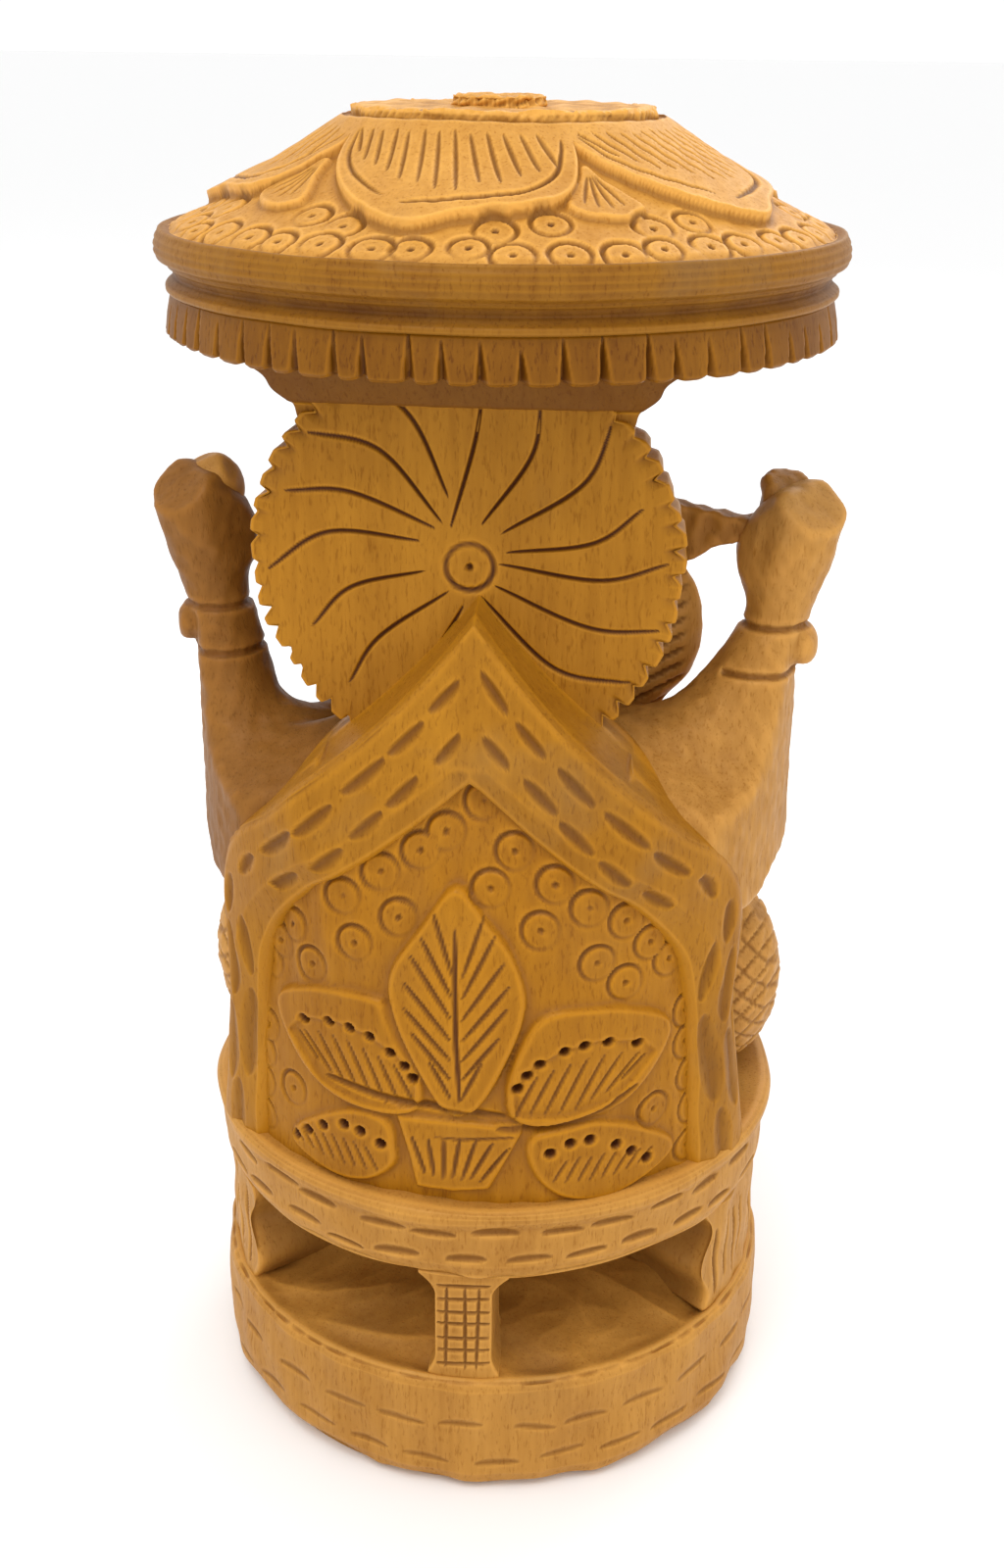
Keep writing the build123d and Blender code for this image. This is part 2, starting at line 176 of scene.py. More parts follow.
class Carving:
    # u runs across (mm, or radians when it goes round) and v runs up; each mark has its own anchor
    def __init__(self, u, v, stretch=None):
        self.u, self.v = u, v
        self.around = stretch is not None
        self.stretch = stretch if self.around else np.ones(len(u))
        self.cut = np.zeros(len(u))
        self.scorch = np.zeros(len(u))

    def near(self, anchor, low, high):
        across = self.u - anchor[0]
        if self.around:
            across = (across + math.pi) % turn - math.pi
        a = across * self.stretch
        b = self.v - anchor[1]
        pick = np.nonzero((a > low[0]) & (a < high[0]) & (b > low[1]) & (b < high[1]))[0]
        return pick, a[pick], b[pick]

    def stroke(self, anchor, points, width, depth, dark=0.5, taper=0.5, heel=0.5):
        # one pull of the knife: deepest in the middle, heel is the share of the width left of the line
        path = np.array(points, float)
        pick, a, b = self.near(anchor, path.min(0) - width, path.max(0) + width)
        if not len(pick):
            return
        lengths = np.linalg.norm(np.diff(path, axis=0), axis=1)
        best = np.full(len(pick), 1e9)
        place = np.zeros(len(pick))
        side = np.zeros(len(pick))
        gone = 0.0
        for start, step, length in zip(path, np.diff(path, axis=0), lengths):
            t = np.clip(((a - start[0]) * step[0] + (b - start[1]) * step[1]) / length**2, 0, 1)
            da = a - start[0] - t * step[0]
            db = b - start[1] - t * step[1]
            distance = np.hypot(da, db)
            closer = distance < best
            best = np.where(closer, distance, best)
            place = np.where(closer, gone + t * length, place)
            side = np.where(closer, step[0] * db - step[1] * da, side)
            gone += length
        along = place / gone
        swell = np.maximum(4 * along * (1 - along), 0.0) ** taper
        reach = width * np.where(side > 0, heel, 1 - heel) * np.maximum(swell, 0.02)
        shape = np.clip(1 - best / reach, 0, 1)
        self.cut[pick] = np.maximum(self.cut[pick], depth * swell * shape)
        self.scorch[pick] = np.maximum(self.scorch[pick],
            dark * softStep(shape, 0, 0.75) * softStep(swell, 0, 0.5))

    def ringPunch(self, anchor, radius, width, depth, dark=0.45, dot=0.5, tilt=(0, 0)):
        # a hollow punch struck at a slight tilt, with a centre point
        pick, a, b = self.near(anchor, (-radius - width,) * 2, (radius + width,) * 2)
        distance = np.hypot(a, b)
        lean = 1 + (tilt[0] * a + tilt[1] * b) / radius
        ring = np.clip(1 - np.abs(distance - radius) / width, 0, 1) * np.clip(lean, 0.12, 1.5)
        point = np.clip(1 - distance / dot, 0, 1)
        cut = np.maximum(depth * ring, depth * 1.6 * point)
        self.cut[pick] = np.maximum(self.cut[pick], cut)
        self.scorch[pick] = np.maximum(self.scorch[pick],
            np.maximum(dark * np.clip(ring, 0, 1), 0.9 * softStep(point, 0, 0.6)))

    def inside(self, anchor, outline, slope=0.5):
        # 1 inside the outline, falling to 0 just outside it over the slope's width
        outline = np.array(outline, float)
        pick, a, b = self.near(anchor, outline.min(0) - slope, outline.max(0) + slope)
        best = np.full(len(pick), 1e9)
        odd = np.zeros(len(pick), bool)
        for (ax, ay), (bx, by) in zip(outline, np.roll(outline, -1, axis=0)):
            dx, dy = bx - ax, by - ay
            t = np.clip(((a - ax) * dx + (b - ay) * dy) / (dx * dx + dy * dy + 1e-12), 0, 1)
            best = np.minimum(best, np.hypot(a - ax - t * dx, b - ay - t * dy))
            crosses = (ay > b) != (by > b)
            at = ax + (b - ay) / (by - ay if by != ay else 1e-9) * dx
            odd ^= crosses & (a < at)
        signed = np.where(odd, best, -best)
        value = np.zeros(len(self.u))
        value[pick] = softStep(signed, -slope, 0)
        return value


def turned(profile, columns):
    # a skin turned about the vertical axis: profile is (radius, height, step) from the axis and back to it
    path = resample(np.array(profile, float))
    poles = path[0], path[-1]
    rows = path[1:-1]
    tangent = np.gradient(path, axis=0)[1:-1]
    outward = np.stack([tangent[:, 1], -tangent[:, 0]], axis=1)
    outward /= np.maximum(np.linalg.norm(outward, axis=1), 1e-9)[:, None]
    count = int(columns * density)
    phi = np.tile(np.arange(count) / count * turn - math.pi, len(rows))
    radius = np.repeat(rows[:, 0], count)
    height = np.repeat(rows[:, 1], count)
    away = np.repeat(outward, count, axis=0)
    return {"rows": len(rows), "columns": count, "phi": phi, "r": radius, "z": height, "out": away,
            "poles": poles}


def turnedObject(name, skin, raised, scorch):
    r = skin["r"] + skin["out"][:, 0] * raised
    z = skin["z"] + skin["out"][:, 1] * raised
    points = aboutAxis(r, skin["phi"], z)
    rows, columns = skin["rows"], skin["columns"]
    first, last = len(points), len(points) + 1
    points = np.vstack([points, [0, 0, skin["poles"][0][1]], [0, 0, skin["poles"][1][1]]])
    ring = np.arange(columns)
    following = (ring + 1) % columns
    top = (rows - 1) * columns
    near = np.stack([np.full(columns, first), following, ring, ring], axis=1)
    far = np.stack([np.full(columns, last), top + ring, top + following, top + following], axis=1)
    quads = outwardFaces(points, np.vstack([gridFaces(rows, columns), near, far]))
    return newObject(name, points, [tuple(dict.fromkeys(q)) for q in quads.tolist()],
                     np.append(scorch, [0, 0]))


def turnedCarving(skin, acrossFace):
    return Carving(skin["phi"], acrossFace, np.maximum(skin["r"], 1.0))


def roundedProfile(points, step):
    # a smooth curve through the points as profile points
    return [(r, z, step) for r, z in smoothPath(points, 5)]


# Geometry nodes helpers

def newTree(name, kind, inputs, outputs):
    tree = bpy.data.node_groups.new(name, kind)
    for label, socketType, value in inputs:
        socket = tree.interface.new_socket(label, in_out="INPUT", socket_type=socketType)
        if value is not None:
            socket.default_value = value
    for label, socketType in outputs:
        tree.interface.new_socket(label, in_out="OUTPUT", socket_type=socketType)
    return tree, tree.nodes.new("NodeGroupInput"), tree.nodes.new("NodeGroupOutput")


def addNode(tree, kind, links=None, **settings):
    node = tree.nodes.new(kind)
    for key, value in settings.items():
        setattr(node, key, value)
    for key, value in (links or {}).items():
        if isinstance(value, bpy.types.NodeSocket):
            tree.links.new(value, node.inputs[key])
        else:
            node.inputs[key].default_value = value
    return node


def calc(tree, operation, *values, clamp=False):
    links = dict(enumerate(values))
    return addNode(tree, "ShaderNodeMath", links, operation=operation, use_clamp=clamp).outputs[0]


def maths(tree):
    # the four sums as short functions on one tree
    def short(operation):
        return lambda *values, clamp=False: calc(tree, operation, *values, clamp=clamp)
    return [short(name) for name in ("ADD", "SUBTRACT", "MULTIPLY", "DIVIDE")]


def grow(piece, tree, values, material):
    # runs the tree on the piece and keeps the plain mesh that comes out
    modifier = piece.modifiers.new(tree.name, "NODES")
    modifier.node_group = tree
    wanted = dict(values, Material=material)
    for item in tree.interface.items_tree:
        if item.item_type == "SOCKET" and item.in_out == "INPUT" and item.name in wanted:
            modifier[item.identifier] = wanted[item.name]
    bpy.context.view_layer.update()
    ready = piece.evaluated_get(bpy.context.evaluated_depsgraph_get())
    mesh = bpy.data.meshes.new_from_object(ready)
    if piece.type != "MESH":
        grown = bpy.data.objects.new(piece.name + "Mesh", mesh)
        bpy.context.scene.collection.objects.link(grown)
        bpy.data.objects.remove(piece)
        return grown
    piece.modifiers.clear()
    piece.data = mesh
    return piece


geometrySocket = ("Geometry", "NodeSocketGeometry", None)
materialSocket = ("Material", "NodeSocketMaterial", None)


def closeTree(tree, start, end, geometry):
    realized = addNode(tree, "GeometryNodeRealizeInstances", {"Geometry": geometry})
    painted = addNode(tree, "GeometryNodeSetMaterial",
                      {"Geometry": realized.outputs[0], "Material": start.outputs["Material"]})
    tree.links.new(painted.outputs[0], end.inputs[0])
    return tree


def makeNotchTree():
    # cuts wedge notches round the lower edge of a turned skirt
    number = "NodeSocketFloat"
    tree, start, end = newTree("skirtNotches", "GeometryNodeTree", [
        geometrySocket, ("Teeth", "NodeSocketInt", 60), ("Bottom Height", number, 0.0),
        ("Notch Height", number, 0.003),
        ("Notch Width", number, 0.0006), ("Notch Depth", number, 0.001), ("Outer Radius", number, 0.035),
        ("Uneven", number, 0.2), ("Seed", "NodeSocketInt", 4), materialSocket,
    ], [("Geometry", "NodeSocketGeometry")])
    value = start.outputs
    add, less, times, over = maths(tree)
    place = addNode(tree, "ShaderNodeSeparateXYZ",
                    {0: addNode(tree, "GeometryNodeInputPosition").outputs[0]}).outputs
    angle = calc(tree, "ARCTAN2", place[0], place[1])
    turns = times(over(angle, turn), value["Teeth"])
    tooth = calc(tree, "FLOOR", turns)
    luck = []
    for shift in range(3):
        node = addNode(tree, "FunctionNodeRandomValue", data_type="FLOAT")
        tree.links.new(tooth, node.inputs["ID"])
        tree.links.new(add(value["Seed"], float(shift)), node.inputs["Seed"])
        node.inputs[2].default_value = -1.0
        node.inputs[3].default_value = 1.0
        luck.append(times(node.outputs[1], value["Uneven"]))
    centre = add(times(luck[0], 0.6), 0.5)
    off = less(less(turns, tooth), centre)
    pitch = over(times(value["Outer Radius"], turn), value["Teeth"])
    away = times(off, pitch)
    height = less(place[2], value["Bottom Height"])
    tall = times(value["Notch Height"], add(luck[1], 1.0))
    rise = over(height, tall, clamp=True)
    width = times(value["Notch Width"], less(1.15, rise))
    # a steep wall on one side of the notch and a shallow one on the other
    leftSide = calc(tree, "LESS_THAN", away, 0.0)
    reach = times(width, add(times(leftSide, 1.1), 0.55))
    shape = less(1.0, over(calc(tree, "ABSOLUTE", away), reach), clamp=True)
    fade = less(1.0, calc(tree, "POWER", rise, 3.0), clamp=True)
    radius = calc(tree, "SQRT", add(calc(tree, "POWER", place[0], 2.0), calc(tree, "POWER", place[1], 2.0)))
    outerFace = calc(tree, "GREATER_THAN", radius, less(value["Outer Radius"], 0.0014))
    share = times(times(shape, fade), outerFace)
    depth = times(times(share, value["Notch Depth"]), add(luck[2], 1.0))
    # the foot of every tooth is rounded off towards its notches
    edge = calc(tree, "POWER", less(1.0, times(calc(tree, "ABSOLUTE", off), 2.6), clamp=True), 2.0)
    low = less(1.0, over(height, 0.0012), clamp=True)
    lift = times(times(edge, low), 0.0004)
    inward = over(times(depth, -1.0), radius)
    offset = addNode(tree, "ShaderNodeCombineXYZ", {
        0: times(place[0], inward), 1: times(place[1], inward), 2: lift})
    moved = addNode(tree, "GeometryNodeSetPosition",
                    {"Geometry": value["Geometry"], "Offset": offset.outputs[0]})
    stored = addNode(tree, "GeometryNodeStoreNamedAttribute", {"Geometry": moved.outputs[0]},
                     data_type="FLOAT", domain="POINT")
    stored.inputs["Name"].default_value = "scorch"
    tree.links.new(times(share, 0.85), stored.inputs["Value"])
    return closeTree(tree, start, end, stored.outputs[0])


def makePunchTree():
    # strikes a ring punch with a centre point at every point of another object
    number = "NodeSocketFloat"
    tree, start, end = newTree("ringPunches", "GeometryNodeTree", [
        geometrySocket, ("Centres", "NodeSocketObject", None), ("Ring Radius", number, 0.0018),
        ("Line Width", number, 0.0003), ("Depth", number, 0.0004), ("Dot Radius", number, 0.0004),
        materialSocket,
    ], [("Geometry", "NodeSocketGeometry")])
    value = start.outputs
    add, less, times, over = maths(tree)
    info = addNode(tree, "GeometryNodeObjectInfo", {"Object": value["Centres"]}, transform_space="ORIGINAL")
    near = addNode(tree, "GeometryNodeProximity", {0: info.outputs["Geometry"]}, target_element="POINTS")
    distance = near.outputs["Distance"]
    offRing = calc(tree, "ABSOLUTE", less(distance, value["Ring Radius"]))
    ring = less(1.0, over(offRing, value["Line Width"]), clamp=True)
    dot = less(1.0, over(distance, value["Dot Radius"]), clamp=True)
    # the punch leans, so each ring is cut deeper on one side
    normal = addNode(tree, "GeometryNodeInputNormal").outputs[0]
    place = addNode(tree, "GeometryNodeInputPosition").outputs[0]
    away = addNode(tree, "ShaderNodeVectorMath", {0: place, 1: near.outputs["Position"]},
                   operation="SUBTRACT").outputs[0]
    lean = addNode(tree, "ShaderNodeSeparateXYZ", {0: away}).outputs
    swing = over(add(lean[2], lean[0]), times(value["Ring Radius"], 2.2))
    pressed = times(ring, add(swing, 0.75), clamp=True)
    deep = calc(tree, "MAXIMUM", pressed, times(dot, 1.7))
    push = times(times(deep, value["Depth"]), -1.0)
    offset = addNode(tree, "ShaderNodeVectorMath", {0: normal}, operation="SCALE")
    tree.links.new(push, offset.inputs["Scale"])
    moved = addNode(tree, "GeometryNodeSetPosition",
                    {"Geometry": value["Geometry"], "Offset": offset.outputs[0]})
    before = addNode(tree, "GeometryNodeInputNamedAttribute", data_type="FLOAT")
    before.inputs["Name"].default_value = "scorch"
    mark = calc(tree, "MAXIMUM", times(pressed, 0.5), times(dot, 1.3), clamp=True)
    stored = addNode(tree, "GeometryNodeStoreNamedAttribute", {"Geometry": moved.outputs[0]},
                     data_type="FLOAT", domain="POINT")
    stored.inputs["Name"].default_value = "scorch"
    tree.links.new(calc(tree, "MAXIMUM", before.outputs[0], mark), stored.inputs["Value"])
    return closeTree(tree, start, end, stored.outputs[0])


def makeBeadTree():
    # strings carved beads along a curve
    number = "NodeSocketFloat"
    tree, start, end = newTree("carvedBeads", "GeometryNodeTree", [
        geometrySocket, ("Spacing", number, 0.002), ("Bead Radius", number, 0.001), ("Uneven", number, 0.12),
        ("Seed", "NodeSocketInt", 3), materialSocket,
    ], [("Geometry", "NodeSocketGeometry")])
    value = start.outputs
    add, less, _, _ = maths(tree)
    spread = addNode(tree, "GeometryNodeCurveToPoints", {"Curve": value["Geometry"]}, mode="LENGTH")
    tree.links.new(value["Spacing"], spread.inputs["Length"])
    bead = addNode(tree, "GeometryNodeMeshIcoSphere", {"Radius": value["Bead Radius"], "Subdivisions": 3})
    size = addNode(tree, "FunctionNodeRandomValue", data_type="FLOAT")
    tree.links.new(value["Seed"], size.inputs["Seed"])
    tree.links.new(less(1.0, value["Uneven"]), size.inputs[2])
    tree.links.new(add(1.0, value["Uneven"]), size.inputs[3])
    strung = addNode(tree, "GeometryNodeInstanceOnPoints",
                     {"Points": spread.outputs["Points"], "Instance": bead.outputs[0]})
    tree.links.new(size.outputs[1], strung.inputs["Scale"])
    return closeTree(tree, start, end, strung.outputs[0])


notchTree = makeNotchTree()
punchTree = makePunchTree()
beadTree = makeBeadTree()


# Wood

def makeGrainGroup():
    # fine straight grain running up the block: colour, roughness and height, from object coordinates
    number, colour, vector = "NodeSocketFloat", "NodeSocketColor", "NodeSocketVector"
    tree, start, end = newTree("kadamGrain", "ShaderNodeTree", [
        ("Place", vector, None), ("Pale", colour, (0.6, 0.35, 0.12, 1)),
        ("Deep", colour, (0.4, 0.2, 0.05, 1)),
        ("Fibre", number, 1.0), ("Pores", number, 1.0), ("Mottle", number, 1.0),
    ], [("Color", colour), ("Roughness", number), ("Height", number)])
    value = start.outputs
    add, less, times, _ = maths(tree)

    def noise(stretch, scale, detail):
        spread = addNode(tree, "ShaderNodeMapping", {"Vector": value["Place"], "Scale": (1, 1, stretch)})
        return addNode(tree, "ShaderNodeTexNoise", {
            "Vector": spread.outputs[0], "Scale": scale, "Detail": detail, "Roughness": 0.55}).outputs[0]

    fibre = noise(0.07, 1500.0, 4.0)
    bands = noise(0.05, 240.0, 3.0)
    cloud = noise(0.6, 42.0, 3.0)
    fleck = noise(0.22, 3600.0, 2.0)
    blotch = noise(0.8, 130.0, 4.0)
    pores = times(less(fleck, 0.56, clamp=True), 7.0, clamp=True)
    tone = times(less(fibre, 0.5), times(value["Fibre"], 0.8))
    tone = add(tone, times(less(bands, 0.5), times(value["Fibre"], 0.6)))
    tone = add(tone, times(less(cloud, 0.5), times(value["Mottle"], 1.3)))
    tone = add(tone, times(less(blotch, 0.5), times(value["Mottle"], 0.7)))
    tone = add(tone, times(pores, times(value["Pores"], 0.5)))
    tone = add(tone, 0.42, clamp=True)
    mixed = addNode(tree, "ShaderNodeMix", {"Factor": tone, 6: value["Pale"], 7: value["Deep"]},
                    data_type="RGBA")
    tree.links.new(mixed.outputs[2], end.inputs["Color"])
    rough = add(times(fibre, 0.14), times(pores, 0.12))
    tree.links.new(add(rough, 0.42), end.inputs["Roughness"])
    height = less(times(fibre, 0.5), times(pores, 0.6))
    tree.links.new(height, end.inputs["Height"])
    return tree


def makeMarksAndShadeGroup():
    # the wood's marks and painted light: darker cuts, with painted shade that some pieces add; brown hollows, from
    # dirt pooled in them and painted shade; pale edges, a painted highlight; grey smudges
    number, colour, vector = "NodeSocketFloat", "NodeSocketColor", "NodeSocketVector"
    tree, start, end = newTree("kadamToolWear", "ShaderNodeTree", [
        ("Color", colour, (0.6, 0.35, 0.12, 1)), ("Place", vector, None), ("Hollow", number, 0.0),
        ("Valley", number, 0.0), ("Scorch", number, 0.0), ("Cut Colour", colour, (0.07, 0.018, 0.004, 1)),
        ("Recess Colour", colour, (0.24, 0.09, 0.012, 1)), ("Edge Colour", colour, (0.8, 0.5, 0.2, 1)),
        ("Smudge", number, 0.0),
    ], [("Color", colour), ("Worn", number)])
    value = start.outputs
    _, less, times, _ = maths(tree)

    def blend(factor, first, second):
        node = addNode(tree, "ShaderNodeMix", {"Factor": factor, 6: first, 7: second}, data_type="RGBA")
        return node.outputs[2]

    # darker in the wide valleys and the fine hollows: dirt pooled there, and painted shade
    recess = times(value["Valley"], 3.4, clamp=True)
    fineRecess = times(value["Hollow"], 9.0, clamp=True)
    recess = times(calc(tree, "MAXIMUM", recess, fineRecess), 0.62)
    # raised edges lighter: a painted highlight; the same value makes them a little smoother, as wear
    wearAndHighlight = times(less(times(value["Hollow"], -1.0), 0.008), 11.0, clamp=True)
    shade = blend(recess, value["Color"], value["Recess Colour"])
    shade = blend(times(wearAndHighlight, 0.55), shade, value["Edge Colour"])
    smear = addNode(tree, "ShaderNodeTexNoise",
                    {"Vector": value["Place"], "Scale": 60.0, "Detail": 5.0}).outputs[0]
    smear = times(less(smear, 0.56, clamp=True), 5.0, clamp=True)
    shade = blend(times(smear, value["Smudge"]), shade, (0.2, 0.13, 0.06, 1))
    # darkest in the cuts, and painted shade where a piece adds it: the umbrella's rim and neck, and the inside of
    # the base storey
    shade = blend(times(value["Scorch"], 1.0, clamp=True), shade, value["Cut Colour"])
    tree.links.new(shade, end.inputs["Color"])
    tree.links.new(wearAndHighlight, end.inputs["Worn"])
    return tree


grainGroup = makeGrainGroup()
marksAndShadeGroup = makeMarksAndShadeGroup()
woodLook = {
    "canopyWood": {"pale": (0.66, 0.33, 0.064), "deep": (0.42, 0.175, 0.022), "smudge": 0.12},
    # skirtWood and fringeWood, for the umbrella's rim and the fringe below it: darker copies of the canopy's wood,
    # painted shade
    "skirtWood": {"pale": (0.3, 0.128, 0.01), "deep": (0.172, 0.059, 0.003), "smudge": 0.5},
    "fringeWood": {"pale": (0.245, 0.094, 0.004), "deep": (0.12, 0.037, 0.001), "smudge": 0.6},
    "haloWood": {"pale": (0.415, 0.176, 0.011), "deep": (0.245, 0.09, 0.003), "smudge": 0.15},
    "gableWood": {"pale": (0.395, 0.166, 0.009), "deep": (0.235, 0.086, 0.003), "smudge": 0.35},
    "panelWood": {"pale": (0.4, 0.163, 0.006), "deep": (0.24, 0.084, 0.002), "smudge": 0.1},
    "baseWood": {"pale": (0.5, 0.242, 0.046), "deep": (0.315, 0.13, 0.018), "smudge": 0.2},
    "figureWood": {"pale": (0.49, 0.24, 0.053), "deep": (0.31, 0.13, 0.018), "smudge": 0.3},
    "leftArmWood": {"pale": (0.26, 0.108, 0.019), "deep": (0.155, 0.056, 0.006), "smudge": 0.5},
    # darker for painted shade on the core inside the base openings; the axe uses it too
    "cutWood": {"pale": (0.34, 0.145, 0.024), "deep": (0.19, 0.067, 0.007), "smudge": 0.5},
}


def makeWood(name, look):
    material = bpy.data.materials.new(name)
    material.use_nodes = True
    tree = material.node_tree
    _, less, times, _ = maths(tree)
    shader = tree.nodes["Principled BSDF"]
    place = addNode(tree, "ShaderNodeTexCoord").outputs["Object"]
    grain = addNode(tree, "ShaderNodeGroup", node_tree=grainGroup)
    marksAndShade = addNode(tree, "ShaderNodeGroup", node_tree=marksAndShadeGroup)
    tree.links.new(place, grain.inputs["Place"])
    tree.links.new(place, marksAndShade.inputs["Place"])
    grain.inputs["Pale"].default_value = (*look["pale"], 1)
    grain.inputs["Deep"].default_value = (*look["deep"], 1)
    marksAndShade.inputs["Smudge"].default_value = look["smudge"]
    # pale edges: a painted highlight, a little lighter than the pale wood
    marksAndShade.inputs["Edge Colour"].default_value = (*[min(1.0, c * 1.28) for c in look["pale"]], 1)
    for key in ("hollow", "valley", "scorch"):
        found = addNode(tree, "ShaderNodeAttribute", attribute_name=key)
        tree.links.new(found.outputs["Fac"], marksAndShade.inputs[key.capitalize()])
    tree.links.new(grain.outputs["Color"], marksAndShade.inputs["Color"])
    tree.links.new(marksAndShade.outputs["Color"], shader.inputs["Base Color"])
    rough = less(grain.outputs["Roughness"], times(marksAndShade.outputs["Worn"], 0.1))
    tree.links.new(rough, shader.inputs["Roughness"])
    bump = addNode(tree, "ShaderNodeBump",
                   {"Height": grain.outputs["Height"], "Strength": 0.35, "Distance": 0.00012})
    tree.links.new(bump.outputs[0], shader.inputs["Normal"])
    shader.inputs["Specular IOR Level"].default_value = 0.13
    return material


woods = {name: makeWood(name, look) for name, look in woodLook.items()}


def settle(piece, material, nodes):
    # the last step of every piece: hollow and valley values (for dirt, painted shade and a painted edge highlight),
    # material, body and the parts it stands for
    if not piece.data.materials:
        piece.data.materials.append(woods[material])
    piece.data.materials[0] = woods[material]
    piece.data.polygons.foreach_set("material_index", [0] * len(piece.data.polygons))
    piece.data.polygons.foreach_set("use_smooth", [True] * len(piece.data.polygons))
    markHollows(piece)
    piece.data.update()
    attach(piece, "root")
    if nodes:
        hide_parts(*nodes)
    return piece


# Shapes stacked from outlines

def stacked(section, heights):
    # a closed upright shape: section(z) gives the outline at each height
    rings = [np.column_stack([section(z), np.full(len(section(z)), z)]) for z in heights]
    count = len(rings[0])
    points = np.vstack(rings)
    faces = outwardFaces(points, gridFaces(len(rings), count))
    top = [list(range(count)), list(range(len(points) - count, len(points)))]
    counter = faces[0, 1] == 1
    top[0 if counter else 1].reverse()
    return points, faces.tolist() + top


# Canopy

canopy = {
    "coneFoot": 34.9, "coneTop": 15.9, "plateauDrop": 1.8, "rimHeight": 2.7, "rimFoot": 134.3,
    "petals": 5, "petalRise": 1.0, "punchRadius": 2.0, "columns": 980,
}
coneTopHeight = plateauTop - canopy["plateauDrop"]
coneFootHeight = canopy["rimFoot"] + canopy["rimHeight"] + 0.35
coneLength = math.hypot(canopy["coneFoot"] - canopy["coneTop"], coneTopHeight - coneFootHeight)


